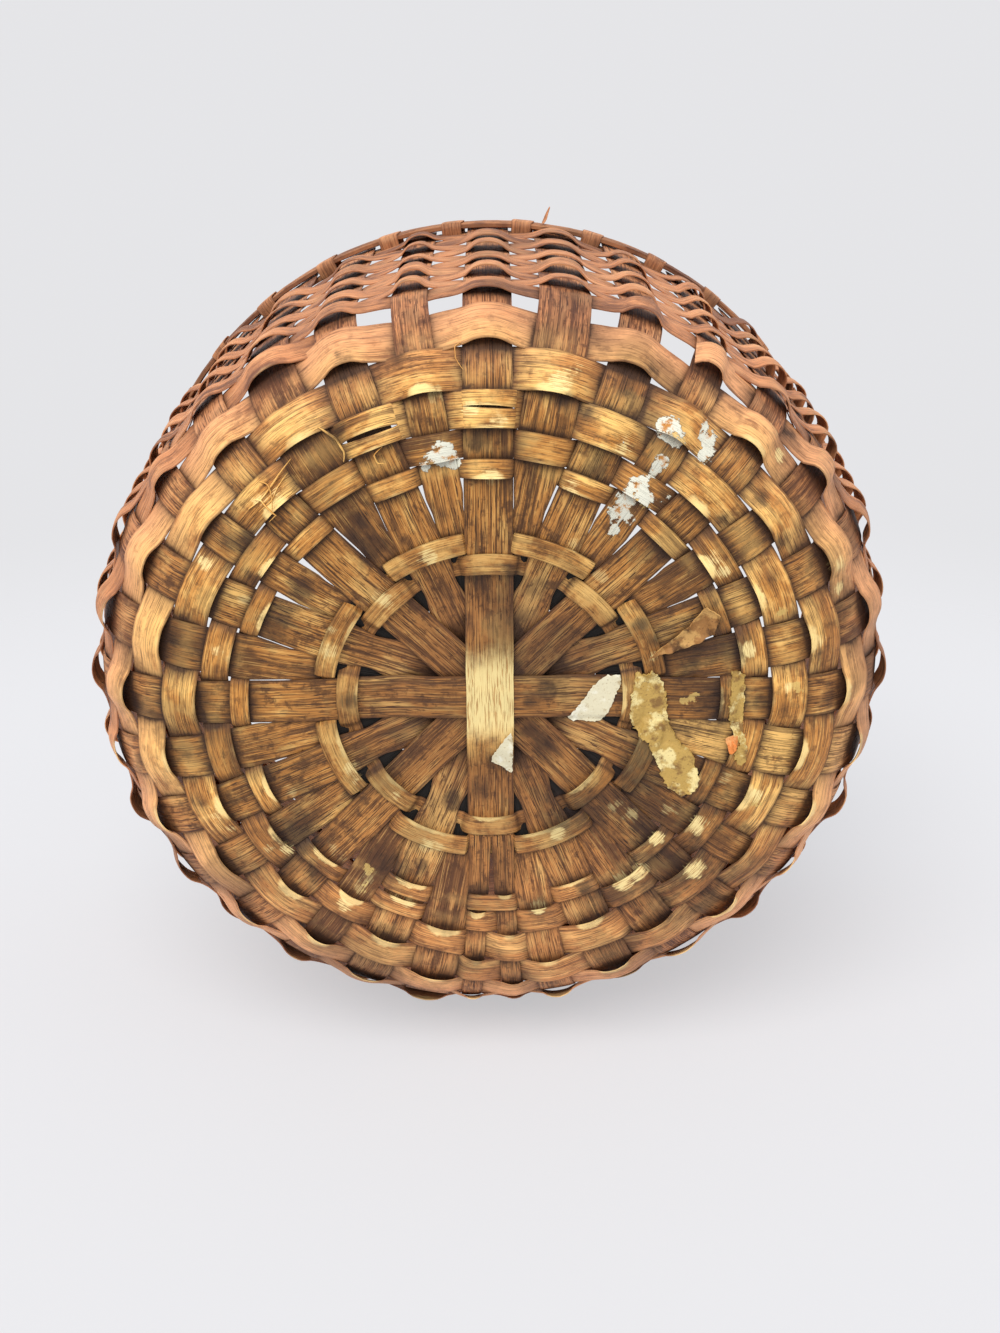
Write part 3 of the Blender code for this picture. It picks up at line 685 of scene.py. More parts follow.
# Sixteen short fillers stand between the long splints. Each is pared to a narrow tip that lies
# inside the crossing, painted near black as shade, and widens as far as its neighbours leave room.
filler_wood = old_ash("old_ash_fillers", 1.03, stain=0.55, pale_share=0.45, grain=1.70, bare_share=0.35)
filler_widths = (
    0.0220, 0.0150, 0.0165, 0.0180, 0.0220, 0.0150, 0.0190, 0.0150,
    0.0200, 0.0150, 0.0170, 0.0185, 0.0200, 0.0150, 0.0230, 0.0150,
)
filler_thickness = 0.0009
filler_gap = 0.0003
ring_2 = ring_1 + ring_width + row_gap
tip_start = 0.0500
tip_half = 0.0034
tip_end = ring_2 + ring_width / 2
tip_sink = 0.0016
tip_painted_shade = 1.3
tip_spare = (0.0010, 0.0006, 0.0009, 0.0012) + (0.0013,) * 8 + (0.0010, 0.0006, 0.0009, 0.0008)


def filler_half(number, along):
    """As wide as the strip is cut, or as its two neighbours leave room for."""
    beside = max(splint_halves[number], splint_halves[(number + 1) % 16])
    free = form_radius(along) * stake_step / 2 - beside - filler_gap
    if number in (7, 8):
        free = free - (prong_middle(along) + prong_half - splint_width / 2)
    return np.maximum(0.0006, np.minimum(filler_widths[number] / 2 + 0.0010, free))


for number in range(16):
    angle = (number + 0.5) * stake_step
    along = np.arange(tip_start, stake_top, stake_sample)
    away, worn, grimy = stake_sway(stake_index("filler", number), along)
    tucked = 1 - share(along, ring_1, tip_end)
    away = away - tip_sink * tucked
    # Painted shade: the tip is painted near black up to just past the second ring.
    grimy = np.maximum(grimy, tip_painted_shade * (1 - share(along, ring_2 + 0.001, ring_2 + 0.008)))
    plain_half = filler_half(number, along)
    half = np.maximum(plain_half, tip_half * tucked + (1 - tucked) * plain_half)
    closed_to = first_edge - (0.001 if 3 <= number <= 11 else 0.009)
    behind = 1 - share(along, closed_to - 0.007, closed_to)
    half = half + (tip_spare[number] + 0.0003) * behind
    away = away - min(0.0012, tip_spare[number]) * behind * (1 - tucked)
    side, outward = stake_directions(angle, along)
    stretches = [path(on_form(angle, along, 0.0, away), side, outward, half, worn, grimy)]
    node = f"filler_{number + 1:02d}"
    sweep_splint(node, stretches, filler_wood, filler_thickness, cup=0.0002)


# Two narrow rings lock the crossing, each a strip laid over every other splint and under those
# between, with its ends hidden behind one of them.
ring_wood = old_ash("old_ash_rings", 0.97, stain=0.5, pale_share=0.40, grain=1.25)
ring_thickness = 0.0008
ring_lip = 0.0011
ring_joint = 0.0024
ring_sample = 0.0013
face_offset = 0.0013


def spokes(bearing):
    return np.stack([np.sin(bearing), -np.cos(bearing), 0.0 * bearing], axis=1)


def eased(knots, values, wanted):
    """A smooth line through the knots, level at each peak."""
    knots, values = np.asarray(knots), np.asarray(values)
    widths = np.diff(knots)
    slopes = np.diff(values) / widths
    mean = (slopes[:-1] * widths[1:] + slopes[1:] * widths[:-1]) / (widths[:-1] + widths[1:])
    steepest = 3 * np.minimum(np.abs(slopes[:-1]), np.abs(slopes[1:]))
    inner = np.where(slopes[:-1] * slopes[1:] > 0, np.clip(mean, -steepest, steepest), 0.0)
    ends = np.concatenate([[0.0], inner, [0.0]])
    cell = np.clip(np.searchsorted(knots, wanted) - 1, 0, len(widths) - 1)
    part = (wanted - knots[cell]) / widths[cell]
    low, high, width = values[cell], values[cell + 1], widths[cell]
    curve = low * (1 + 2 * part) * (1 - part) ** 2 + high * part ** 2 * (3 - 2 * part)
    return curve + width * part * (1 - part) * (ends[cell] * (1 - part) - ends[cell + 1] * part)


def ring_path(middle, reach_out, outside_even, opened):
    knots = []
    offsets = []
    for number in range(-1, 17):
        bearing = (number + opened) * stake_step
        outside = ((number + opened) % 2 == 0) == outside_even
        reach = (reach_out if outside else splint_width / 2) + edge_clearance
        angle = atan(reach / middle)
        knots += [bearing - angle, bearing, bearing + angle]
        ends, crown = (face_offset, 0.0009) if outside else (-face_offset, -0.0002)
        offsets += [ends, ends + crown, ends]
    start = opened * stake_step + ring_joint / 2 / middle
    bearing = np.arange(start, start + 2 * pi - ring_joint / middle, ring_sample / middle)
    outward = eased(knots, offsets, bearing)
    centre = on_form(bearing, np.full_like(bearing, middle), 0.0, outward)
    down = np.tile(np.array([0.0, 0.0, -1.0]), (len(bearing), 1))
    worn = share(outward, 0.0008, 0.0020)
    # Painted shade where the ring dives between the splints.
    grimy = 0.6 * (1 - share(np.abs(outward), 0.0003, 0.0012))
    lip = ring_lip * share(outward, 0.0012, 0.0022) * (0.6 + 0.4 * np.sin(7.3 * bearing + middle * 900))
    return [path(centre, spokes(bearing), down, ring_width / 2, worn, grimy, lip=lip)]


tips = ring_2 * sin(stake_step / 2) + 0.0035
for node, middle, reach_out, outside_even, opened in (
    ("ring_first", ring_1, splint_width / 2, True, 3),
    ("ring_second", ring_2, tips, False, 6),
):
    ring_paths = ring_path(middle, reach_out, outside_even, opened)
    sweep_splint(node, ring_paths, ring_wood, ring_thickness, cup=0.0003)


# The weaver runs over one stake and under the next in one spiral, pieced from ten strips. It
# bulges where it passes outside a stake, most on the wall, and dives between two stakes.
base_weaver_wood = old_ash("old_ash_base_weavers", 1.28, stain=0.5, pale_share=0.45, grain=1.25)
wall_weaver_wood = old_ash(
    "old_ash_wall_weavers", 1.24, stain=0.45, pale_share=0.12, grain=0.8, redness=0.15,
)
weaver_thickness = 0.0009
weaver_sample = 0.0020
draw = np.random.default_rng(11)
bulges = draw.uniform(0.70, 1.30, 600)
rolls = draw.normal(-0.055, 0.03, 600)
slackness = draw.uniform(0.3, 1.0, 600)
curls = draw.uniform(0.0, 1.0, 600) ** 2
start_bearing = pi + 0.1
crown_under = 0.0010
crown_upright = 0.0024
full_crown_half = 0.0095
tuck_depth = 0.0010
most_slack = 0.0052
least_curl = 0.0005
more_curl = 0.0022
curl_fades_from = 0.16
# Where the wall's rows are slack: the bearing, how far it spreads, both in degrees, and how much.
slack_places = ((50, 26, 1.0), (-95, 34, 0.8), (125, 26, 0.7))
# Where a piece of the sixth turn is lost, the rows on both sides have slipped into its room. Each
# slip, and each place where a row is wider, is given by its crossing.
slips = {
    114: 0.0003, 115: 0.0008, 116: 0.0010, 117: 0.0010, 118: 0.0006,
    146: 0.0006, 147: 0.0040, 148: 0.0022, 149: 0.0054, 150: 0.0026, 151: 0.0062, 152: 0.0012, 153: 0.0006,
    178: 0.0015, 179: 0.0030, 184: 0.0015, 185: 0.0025, 186: 0.0010, 216: 0.0015, 217: 0.0030, 218: 0.0015,
}
wide_places = {
    113: 0.0008, 114: 0.0018, 115: 0.0026, 116: 0.0030, 117: 0.0030, 118: 0.0024, 119: 0.0012,
    146: 0.0010, 147: 0.0025, 148: 0.0040, 149: 0.0048, 150: 0.0048, 151: 0.0040, 152: 0.0025, 153: 0.0010,
}


def stake_bearing(stake, along):
    kind, which = stake
    if kind == "prong":
        return pi + np.arctan(which * prong_middle(along) / form_radius(along))
    return (which + (0.5 if kind == "filler" else 0.0)) * stake_step


def stake_half(stake, along):
    kind, which = stake
    if kind == "prong":
        return prong_half + 0.0 * along
    return filler_half(which, along) if kind == "filler" else splint_halves[which] + 0.0 * along


def row_place(crossing):
    return row_middle(crossing / len(stakes)) + slips.get(crossing, 0.0)


def half_at(crossing):
    return (row_width(crossing / len(stakes)) + wide_places.get(crossing, 0.0)) / 2


def crossing_travel(crossing):
    """How far round the basket the weaver has come at a crossing, counted from its first end."""
    stake = stakes[crossing % len(stakes)]
    lap = crossing // len(stakes)
    return 2 * pi * lap + (start_bearing - stake_bearing(stake, row_place(crossing))) % (2 * pi)


def crossing_bearing(crossing):
    """In degrees, from -180 to 180."""
    bearing = stake_bearing(stakes[crossing % len(stakes)], row_place(crossing))
    return (bearing * 180 / pi + 180) % 360 - 180


def lowness(crossing):
    """0 at the top of the basket as it lies, and 1 where it is lowest."""
    return 0.5 - 0.5 * cos(crossing_bearing(crossing) * pi / 180)


def slack_at(crossing):
    """The wall's rows stand off most at the upper right, on the left and at the lower right."""
    bearing = crossing_bearing(crossing)
    along = row_place(crossing)
    near = max(much * np.exp(-((bearing - middle) / spread) ** 2) for middle, spread, much in slack_places)
    started = share(along, base_radius + 0.03, corner_end + 0.01)
    height = started * (1 - share(along, top_row - 0.04, top_row))
    return most_slack * near * float(height) * slackness[crossing]


def curl_at(crossing):
    """The edge towards the middle curls out over a stake, most in the lower half as it lies."""
    on_wall = float(share(row_place(crossing), curl_fades_from, corner_end))
    curl = least_curl + more_curl * curls[crossing] * (0.35 + 0.65 * lowness(crossing))
    return curl * (1 - 0.7 * on_wall)


def flattened(crossing):
    """The rows round the lower corner lie flatter than the others."""
    past_corner = float(share(row_place(crossing), corner_end - 0.02, corner_end + 0.02))
    return 1 - 0.5 * lowness(crossing) * (1 - past_corner)


def weaver_path(first, last, stops):
    knots = []
    offsets = []
    lips = []
    travels = []
    tucks = []
    crossings = np.arange(first - 1, last + 2)
    for crossing in crossings:
        along = row_place(crossing)
        stake = stakes[crossing % len(stakes)]
        travel = crossing_travel(crossing)
        reach = (stake_half(stake, along) - 0.0003) / form_radius(along)
        upright = float(share(along, base_radius - 0.03, corner_end))
        touch = face_offset
        if passes_outside(crossing):
            wide = min(1.0, float(stake_half(stake, along)) / full_crown_half)
            crown = (crown_under + crown_upright * upright) * bulges[crossing] * wide * flattened(crossing)
            crown += slack_at(crossing)
            lips += [curl_at(crossing) * part for part in (0.0, 0.65, 1.0, 0.65, 0.0)]
        else:
            touch, crown = -tuck_depth, -0.0003 - 0.0007 * upright
            lips += [0.0] * 5
            tucks += [travel - reach, travel + reach]
        offsets += [touch, touch + crown * 0.72, touch + crown, touch + crown * 0.72, touch]
        knots += [travel + reach * part for part in (-1, -0.58, 0, 0.58, 1)]
        travels.append(travel)
    half_joint = 0.0004 / wall_radius
    start = knots[5] if passes_outside(first) else travels[1] + half_joint
    end = knots[-6] if passes_outside(last) else travels[-2] - half_joint
    radius = float(form_radius(row_place(int(crossings.mean()))))
    dives = [np.linspace(leave, arrive, 5) for leave, arrive in zip(knots[4::5], knots[5::5])]
    even = np.arange(start, end, weaver_sample / radius)
    travel = np.unique(np.concatenate([even, *dives, [start, end]]))
    travel = travel[(travel >= start) & (travel <= end)]
    travel = travel[np.concatenate([[True], np.diff(travel) > 0.0002 / radius])]
    for stop in stops:
        travel[np.abs(travel - stop).argmin()] = stop
    along = eased(travels, [row_place(crossing) for crossing in crossings], travel)
    outward = eased(knots, offsets, travel)
    bearing = start_bearing - travel
    centre = on_form(bearing, along, 0.0, outward)
    up = unit(on_form(bearing, along + 0.001, 0.0, outward) - centre)
    away = unit(on_form(bearing, along, 0.0, outward + 0.001) - centre)
    leans = [rolls[crossing] if passes_outside(crossing) else 0.0 for crossing in crossings]
    roll = eased(travels, leans, travel)[:, None]
    side = up * np.cos(roll) + away * np.sin(roll)
    fuller = 0.0001 + 0.0009 * share(along, base_radius, corner_end)
    fuller = fuller + 0.0009 * share(along, corner_end, corner_end + 0.02)
    half = np.interp(travel, travels, [half_at(crossing) for crossing in crossings]) + fuller
    worn = share(outward, 0.0012, 0.0040)
    # Painted shade where the weaver goes under a stake and where it dives between stakes, less of it on
    # the wall.
    to_tuck = np.abs(travel[:, None] - np.array(tucks)[None]).min(axis=1) * radius
    grimy = 0.9 * np.exp(-to_tuck / 0.0026) + 0.12 * (1 - share(outward, 0.0004, 0.0014))
    grimy *= fainter_up_wall(along)
    whole = path(centre, side, away, half, worn, grimy, lip=np.interp(travel, knots, lips))
    whole["travel"] = travel
    return whole


def part_of(whole, keep, low=-1.0, high=1.0):
    """A stretch of a strip, or a ribbon of it between two lines along its width."""
    low, high = np.broadcast_to(low, keep.shape)[keep], np.broadcast_to(high, keep.shape)[keep]
    ribbon = {key: values[keep].copy() for key, values in whole.items()}
    ribbon["centre"] += ribbon["side"] * (ribbon["half"] * (low + high) / 2)[:, None]
    ribbon["half"] *= (high - low) / 2
    return ribbon


def split_strip(whole, cracks):
    """Cuts a strip where it is cracked along the grain. A crack is its two ends, its place
    across the strip, and how wide it gapes in its middle."""
    travel = whole["travel"]
    stretches = []
    done = travel[0]
    for start, end, place, gape in cracks:
        stretches.append(part_of(whole, (travel >= done - 1e-9) & (travel <= start + 1e-9)))
        keep = (travel >= start - 1e-9) & (travel <= end + 1e-9)
        opened = np.sin(pi * share(travel, start, end)) ** 0.6 * gape / 2 / whole["half"]
        line = place + 0.10 * (share(travel, start, end) - 0.5)
        stretches += [part_of(whole, keep, -1.0, line - opened), part_of(whole, keep, line + opened, 1.0)]
        done = end
    stretches.append(part_of(whole, travel >= done - 1e-9))
    return [stretch for stretch in stretches if len(stretch["travel"]) > 2]


# The third turn is cracked right through where it passes over two stakes at the top. Each crack
# is its crossing, its two ends in steps between crossings, its place across and its gape.
cracks_over = {3: ((83, -0.45, 0.40, 0.10, 0.0012), (85, -0.50, 0.48, -0.15, 0.0022))}


def cracks_of(number):
    found = []
    for crossing, before, after, place, gape in cracks_over.get(number, ()):
        here = crossing_travel(crossing)
        step = crossing_travel(crossing + 1) - here
        found.append((here + before * step, here + after * step, place, gape))
    return found


# Fibres and slivers that have torn loose. Each is the strip that it hangs on, its half width,
# and its points: bearing in degrees, distance along and lift off the form in millimetres.
slivers = (
    (3, 0.0004, ((-47, 142, 2.5), (-46, 139, 4.5), (-46, 135, 6.0), (-46, 131, 5.0), (-48, 131, 3.5))),
    (3, 0.0003, ((-44, 146, 2.5), (-43, 142, 5.0), (-44, 137, 6.5), (-46, 133, 5.5))),
    (3, 0.0005, ((-49, 141, 2.2), (-46, 140, 3.4), (-43, 141, 3.8), (-40, 143, 3.0), (-37, 145, 2.2))),
    (3, 0.0004, ((-48, 137, 2.2), (-45, 136.5, 3.6), (-42, 139, 3.4), (-39, 141, 2.4))),
    (3, 0.0003, ((-4, 168, 3.5), (-5, 165, 5.5), (-5, 161, 5.5), (-4, 156, 3.5))),
    (3, 0.0003, ((-21, 131, 2.5), (-23, 129, 5.0), (-23, 126, 5.0), (-22, 124, 3.0))),
    (3, 0.0006, ((-30, 150, 2.6), (-29, 146, 3.8), (-28, 141, 4.2), (-28, 136, 3.2), (-29, 132, 2.4))),
)


def sliver_path(points, half):
    bearing, along, lift = np.array(points, float).T
    stops = np.arange(len(points))
    steps = np.linspace(0, len(points) - 1, 8 * len(points))
    bearing, along, lift = np.radians(bearing), along / 1000, lift / 1000
    bearing, along, lift = (eased(stops, values, steps) for values in (bearing, along, lift))
    centre = on_form(bearing, along, 0.0, lift)
    away = unit(on_form(bearing, along, 0.0, lift + 0.001) - centre)
    side = np.cross(unit(np.gradient(centre, axis=0)), away)
    taper = np.sin(pi * share(steps, -0.8, len(points) - 0.9)) ** 0.7
    return path(centre, side, away, half * np.maximum(0.25, taper), worn=0.6, thin=0.6)


for number, (first, last) in enumerate(weaver_runs, start=1):
    node = f"weaver_{number:02d}"
    on_bottom = number < 4
    wood, slot = (base_weaver_wood, "base_weaver") if on_bottom else (wall_weaver_wood, "wall_weaver")
    cracks = cracks_of(number)
    whole = weaver_path(first, last, [stop for crack in cracks for stop in crack[:2]])
    stretches = split_strip(whole, cracks)
    stretches += [sliver_path(points, half) for strip, half, points in slivers if strip == number]
    sweep_splint(node, stretches, wood, weaver_thickness, ripple=0.0005, cup=0.0004, wander=0.10)


# The rim is held between two shaved hoops, one outside the stakes and one inside. Each hoop's
# ends are pared thin and lapped on each other.
hoop_wood = old_ash("old_ash_hoops", 0.95, stain=0.45, pale_share=0.4, grain=0.9, redness=0.5)
outer_hoop_thickness = 0.0030
inner_hoop_thickness = 0.0024
lap = 0.48
hoop_sample = 0.0035
hoop_waver = 0.0002
rim_radius = float(form_radius(stake_top))
stake_corner = sqrt((rim_radius + splint_thickness / 2) ** 2 + (splint_width / 2) ** 2)
outer_hoop_face = stake_corner + 0.0006 + outer_hoop_thickness
inner_hoop_face = float(form_radius(hoop_bottom)) - splint_thickness / 2 - 0.0003
hoop_foot = corner_radius + (hoop_bottom - corner_end) + standing_lift


def round_place(bearing, radius, height):
    """Places on the rim, with the slight stretch of the whole form."""
    stretch = 1 + out_of_round * np.cos(2 * (bearing - long_axis))
    centre = spokes(bearing) * (radius * stretch)[:, None]
    centre[:, 2] = height
    return centre


def hoop_path(face, thickness, bearing_start):
    bearing = np.arange(0.0, 2 * pi + lap, hoop_sample / wall_radius)
    rising = np.clip(bearing / lap, 0.0, 1.0)
    closing = np.clip((bearing - 2 * pi) / lap, 0.0, 1.0)
    thin = (0.2 + 0.8 * rising) * (1 - 0.8 * closing)
    depth = np.where(bearing > 2 * pi, thickness * (1 - 0.5 * thin), thickness * 0.5 * thin)
    radius = face - depth + hoop_waver * np.sin(bearing * 7 + bearing_start)
    turned = bearing + bearing_start
    centre = round_place(turned, radius, hoop_foot + hoop_height / 2)
    side = np.tile(np.array([0.0, 0.0, 1.0]), (len(turned), 1))
    return [path(centre, side, spokes(turned), hoop_height / 2, 0.3, 0.1, thin)]


for node, face, thickness, start in (
    ("rim_hoop_outer", outer_hoop_face, outer_hoop_thickness, 0.4),
    ("rim_hoop_inner", inner_hoop_face, inner_hoop_thickness, 2.4),
):
    hoop_paths = hoop_path(face, thickness, start)
    sweep_splint(node, hoop_paths, hoop_wood, thickness, ripple=0.0006)


# One long thin strip is lashed round both hoops, with a wrap in each gap between stakes. Outside
# it slants down to the left, and it stands a little proud of the hoop.
lashing_wood = old_ash("old_ash_lashing", 1.10, stain=0.35, pale_share=0.7, grain=0.8, redness=0.35)
lashing_half = 0.0052
lashing_spread = 0.0006
lashing_thickness = 0.0007
lashing_slant = 0.05


def lashing_path():
    bearings = []
    for index, stake in enumerate(stakes):
        after = stakes[(index + 1) % len(stakes)]
        here = stake_bearing(stake, stake_top) - stake_half(stake, stake_top) / rim_radius
        there = stake_bearing(after, stake_top) + stake_half(after, stake_top) / rim_radius
        free = (here - there + pi) % (2 * pi) - pi
        bearings.append(float((here - free / 2) % (2 * pi)))
    bearings.sort()
    gap = 0.0003 + lashing_thickness / 2
    out_face = outer_hoop_face + gap - 0.0003
    in_face = inner_hoop_face - inner_hoop_thickness - gap
    low, high = hoop_foot - gap, hoop_foot + hoop_height + gap
    slant = 2 * pi / len(stakes) * lashing_slant
    corner = 0.0016
    rounded = []
    for index, bearing in enumerate(bearings):
        following = bearings[(index + 1) % len(bearings)] + (2 * pi if index == len(bearings) - 1 else 0.0)
        rounded += [
            (bearing, in_face + corner, low), (bearing, out_face - corner, low - 0.0003),
            (bearing, out_face, low + corner), (bearing + slant / 2, out_face + 0.0002, (low + high) / 2),
            (bearing + slant, out_face, high - corner), (bearing + slant, out_face - corner, high),
            (bearing + slant, in_face + corner, high), (bearing + slant, in_face, high - corner),
            ((bearing + slant + following) / 2, in_face - 0.0004, (low + high) / 2),
            (following, in_face, low + corner),
        ]
    turned, radius, height = np.array(rounded).T
    knots = np.arange(len(rounded), dtype=float)
    fine = np.arange(0.0, len(rounded) - 1, 0.25)
    smooth = np.ones(3) / 3
    placed = []
    for values in (turned, radius, height):
        padded = np.pad(np.interp(fine, knots, values), 1, mode="edge")
        placed.append(np.convolve(padded, smooth, mode="valid"))
    turned, radius, height = placed
    middle = (out_face + in_face) / 2
    outward = spokes(turned) * (radius - middle)[:, None] / 0.004
    outward[:, 2] = (height - (low + high) / 2) / (hoop_height / 2)
    side = np.stack([np.cos(turned), np.sin(turned), 0.0 * turned], axis=1)
    broad = share(radius, out_face - 0.002, out_face) * np.sin(pi * share(height, low, high))
    grimy = 0.35 * (1 - share(height, low, low + 0.004))
    centre = round_place(turned, radius, height)
    strip = path(centre, side, outward, lashing_half + lashing_spread * broad, 0.6 * broad, grimy)
    strip["side"] = side
    return [strip]


lashing_paths = lashing_path()
# A thin fibre has come loose and stands up from the rim.
rim_along = float(stake_top) * 1000
rim_sliver = (
    (9.0, rim_along - 9, 5.5), (9.3, rim_along - 4, 7.0),
    (9.5, rim_along + 1, 9.0), (9.8, rim_along + 3, 13.0),
)
lashing_paths.append(sliver_path(rim_sliver, 0.0009))
sweep_splint("rim_lashing", lashing_paths, lashing_wood, lashing_thickness)


# Two scraps of an old paper label are still stuck to the crossing, bare and torn. They follow
# the splints that they lie on, and their edges have lifted.
scrap_outline_1 = (
    (35.9, 11.6), (38.3, 12.6), (48.9, 13.2), (52.6, 12.4), (56.8, 4.1), (60.6, -6.5), (60.4, -10.4),
    (53.9, -10.4), (49.4, -6.9), (44.1, 0.8), (39.6, 7.4),
)
scrap_outline_2 = (
    (9.8, 17.6), (10.7, 22.8), (10.6, 32.1), (10.2, 38.9), (8.2, 38.4), (5.2, 35.2), (0.4, 32.5),
    (0.9, 29.4), (4.3, 24.3), (7.6, 19.6),
)
carriers = [f"cross_splint_{number}_ash" for number in range(1, 9)]
carriers += [f"filler_{number:02d}_ash" for number in range(3, 9)]
carriers += ["ring_first_ash", "ring_second_ash", "weaver_01_ash", "weaver_02_ash"]
carrier_points = []
carrier_faces = []
for name in carriers:
    mesh = bpy.data.objects[name].data
    first = len(carrier_points)
    carrier_points += [tuple(vertex.co) for vertex in mesh.vertices]
    carrier_faces += [tuple(first + corner for corner in face.vertices) for face in mesh.polygons]
underside = BVHTree.FromPolygons(carrier_points, carrier_faces)
sheet_step = 0.0010
bridged_reach = 0.0026
loose_reach = 0.0035


def underside_level(x, y):
    hit = underside.ray_cast(Vector((x, y, -0.05)), Vector((0.0, 0.0, 1.0)), 0.09)[0]
    return hit.z if hit else np.nan


def torn_outline(outline, tear, draw):
    """The outline in steps of about a millimetre, frayed by the tear."""
    corners = np.array(outline) / 1000
    points = []
    for start, end in zip(corners, np.roll(corners, -1, axis=0)):
        steps = max(1, round(float(np.linalg.norm(end - start)) / sheet_step))
        points += [start + (end - start) * step / steps for step in range(steps)]
    points = np.array(points)
    return points + draw.normal(0.0, tear, points.shape)


def laid_sheet(name, outline, material, thickness, lift, curl, tear, seed, replaced=None):
    """A thin sheet that lies on the splints and is loose at its torn edge."""
    draw = np.random.default_rng(seed)
    rim = torn_outline(outline, tear, draw)
    low, high = rim.min(axis=0), rim.max(axis=0)
    columns, rows = (np.arange(start, end, sheet_step) for start, end in zip(low, high))
    across, down = np.meshgrid(columns, rows)
    inner = np.stack([across.ravel(), down.ravel()], axis=1)
    inner = inner + draw.normal(0.0, sheet_step * 0.12, (across.size, 2))
    gap = np.linalg.norm(inner[:, None] - rim[None], axis=2).min(axis=1)
    inner = inner[gap > sheet_step * 0.6]
    flat = [Vector(point) for point in np.concatenate([rim, inner]).tolist()]
    edges = [(step, (step + 1) % len(rim)) for step in range(len(rim))]
    found = delaunay_2d_cdt(flat, edges, [], 1, 1e-7)
    points = np.array([tuple(point) for point in found[0]])
    raw = np.array([underside_level(x, y) for x, y in points])
    raw = np.where(np.isnan(raw), np.nanmean(raw), raw)
    near = np.linalg.norm(points[:, None] - points[None], axis=2)
    even = np.array([raw[row < bridged_reach].mean() for row in near])
    to_rim = np.linalg.norm(points[:, None] - rim[None], axis=2).min(axis=1)
    loose = np.clip(1 - to_rim / loose_reach, 0.0, 1.0) ** 2
    wave = 0.5 + 0.5 * np.sin(points[:, 0] * 700 + seed) * np.cos(points[:, 1] * 540 + seed)
    level = np.minimum(even, raw - 0.0001) - lift - curl * loose * wave
    mesh = bpy.data.meshes.new(name)
    corners = [(x, y, z) for (x, y), z in zip(points.tolist(), level.tolist())]
    mesh.from_pydata(corners, [], [tuple(face) for face in found[2]])
    rough = bpy.data.objects.new(name + "_flat", mesh)
    bpy.context.scene.collection.objects.link(rough)
    wall = rough.modifiers.new("thickness", "SOLIDIFY")
    wall.thickness = thickness
    wall.offset = 0.0
    finished_piece(rough, name, replaced, material)


def aged_sheet(name, plain, stained, pale, stain_from, rough, relief):
    """Old paper or gum: one colour, darker where it is soaked and paler where it is rubbed."""
    material = bpy.data.materials.new(name)
    material.use_nodes = True
    tree = material.node_tree
    shader = tree.nodes["Principled BSDF"]
    place = new_node(tree, "ShaderNodeTexCoord").outputs["Object"]

    def cloud(scale, detail, **settings):
        values = {"Vector": place, "Scale": scale, "Detail": detail, **settings}
        return add_node(tree, "ShaderNodeTexNoise", values).outputs[0]

    colour = (*plain, 1.0)
    for scale, low, high, other in (
        (110.0, stain_from, stain_from + 0.10, stained),
        (85.0, 0.50, 0.58, pale),
        (900.0, 0.58, 0.70, stained),
    ):
        values = {"From Min": low, "From Max": high, "To Max": 0.85}
        values["Value"] = cloud(scale, 5.0, Roughness=0.62)
        amount = add_node(tree, "ShaderNodeMapRange", values)
        node = new_node(tree, "ShaderNodeMix", data_type="RGBA")
        set_inputs(tree, node, {0: amount.outputs[0], 6: colour, 7: (*other, 1.0)})
        colour = node.outputs[2]
    tree.links.new(colour, shader.inputs["Base Color"])
    shader.inputs["Specular IOR Level"].default_value = 0.3
    fine = cloud(600.0, 4.0)
    values = {"Value": fine, "To Min": rough - 0.1, "To Max": rough + 0.15}
    tree.links.new(add_node(tree, "ShaderNodeMapRange", values).outputs[0], shader.inputs["Roughness"])
    bump = add_node(tree, "ShaderNodeBump", {"Height": fine, "Strength": 0.8, "Distance": relief})
    tree.links.new(bump.outputs[0], shader.inputs["Normal"])
    return material


paper_plain = (0.72, 0.66, 0.47)
paper_stain = (0.42, 0.31, 0.16)
paper_pale = (0.84, 0.81, 0.66)
old_paper = aged_sheet("old_bare_paper", paper_plain, paper_stain, paper_pale, 0.56, 0.8, 0.0003)
for node, outline, curl, seed in (
    ("paper_scrap_1", scrap_outline_1, 0.0005, 3),
    ("paper_scrap_2", scrap_outline_2, 0.0004, 5),
):
    laid_sheet(node + "_torn", outline, old_paper, 0.0002, 0.0003, curl, 0.00022, seed, node)


# The gum of the lost label has dried in two yellow sheets across the rings and the first row, with
# a lighter skin where it has flaked.
gum_outline_1 = (
    (67.4, -12.8), (71.0, -12.0), (75.5, -14.2), (78.7, -10.4), (80.2, -7.0), (81.8, 0.4), (82.1, 7.9),
    (84.1, 14.3), (88.0, 21.2), (92.8, 25.2), (96.3, 31.3), (97.6, 39.6), (96.6, 45.8), (90.7, 49.5),
    (83.5, 44.8), (80.4, 38.2), (76.9, 28.1), (73.4, 21.7), (69.7, 18.4), (65.8, 12.2), (65.2, 3.7),
    (65.9, -3.8),
)
gum_outline_2 = (
    (111.4, -14.5), (117.3, -13.5), (118.0, 0.2), (117.5, 7.7), (117.5, 15.2), (119.7, 22.8),
    (119.7, 30.4), (116.2, 33.4), (113.5, 26.3), (116.4, 21.2), (112.4, 15.1), (110.7, 7.6),
    (111.2, 0.2), (111.3, -7.2),
)
gum_plain = (0.50, 0.32, 0.085)
gum_stain = (0.20, 0.10, 0.03)
gum_pale = (0.86, 0.72, 0.34)
old_gum = aged_sheet("old_gum", gum_plain, gum_stain, gum_pale, 0.53, 0.45, 0.0006)
laid_sheet("gum_sheet_1", gum_outline_1, old_gum, 0.0007, 0.0005, 0.0012, 0.00045, 7)
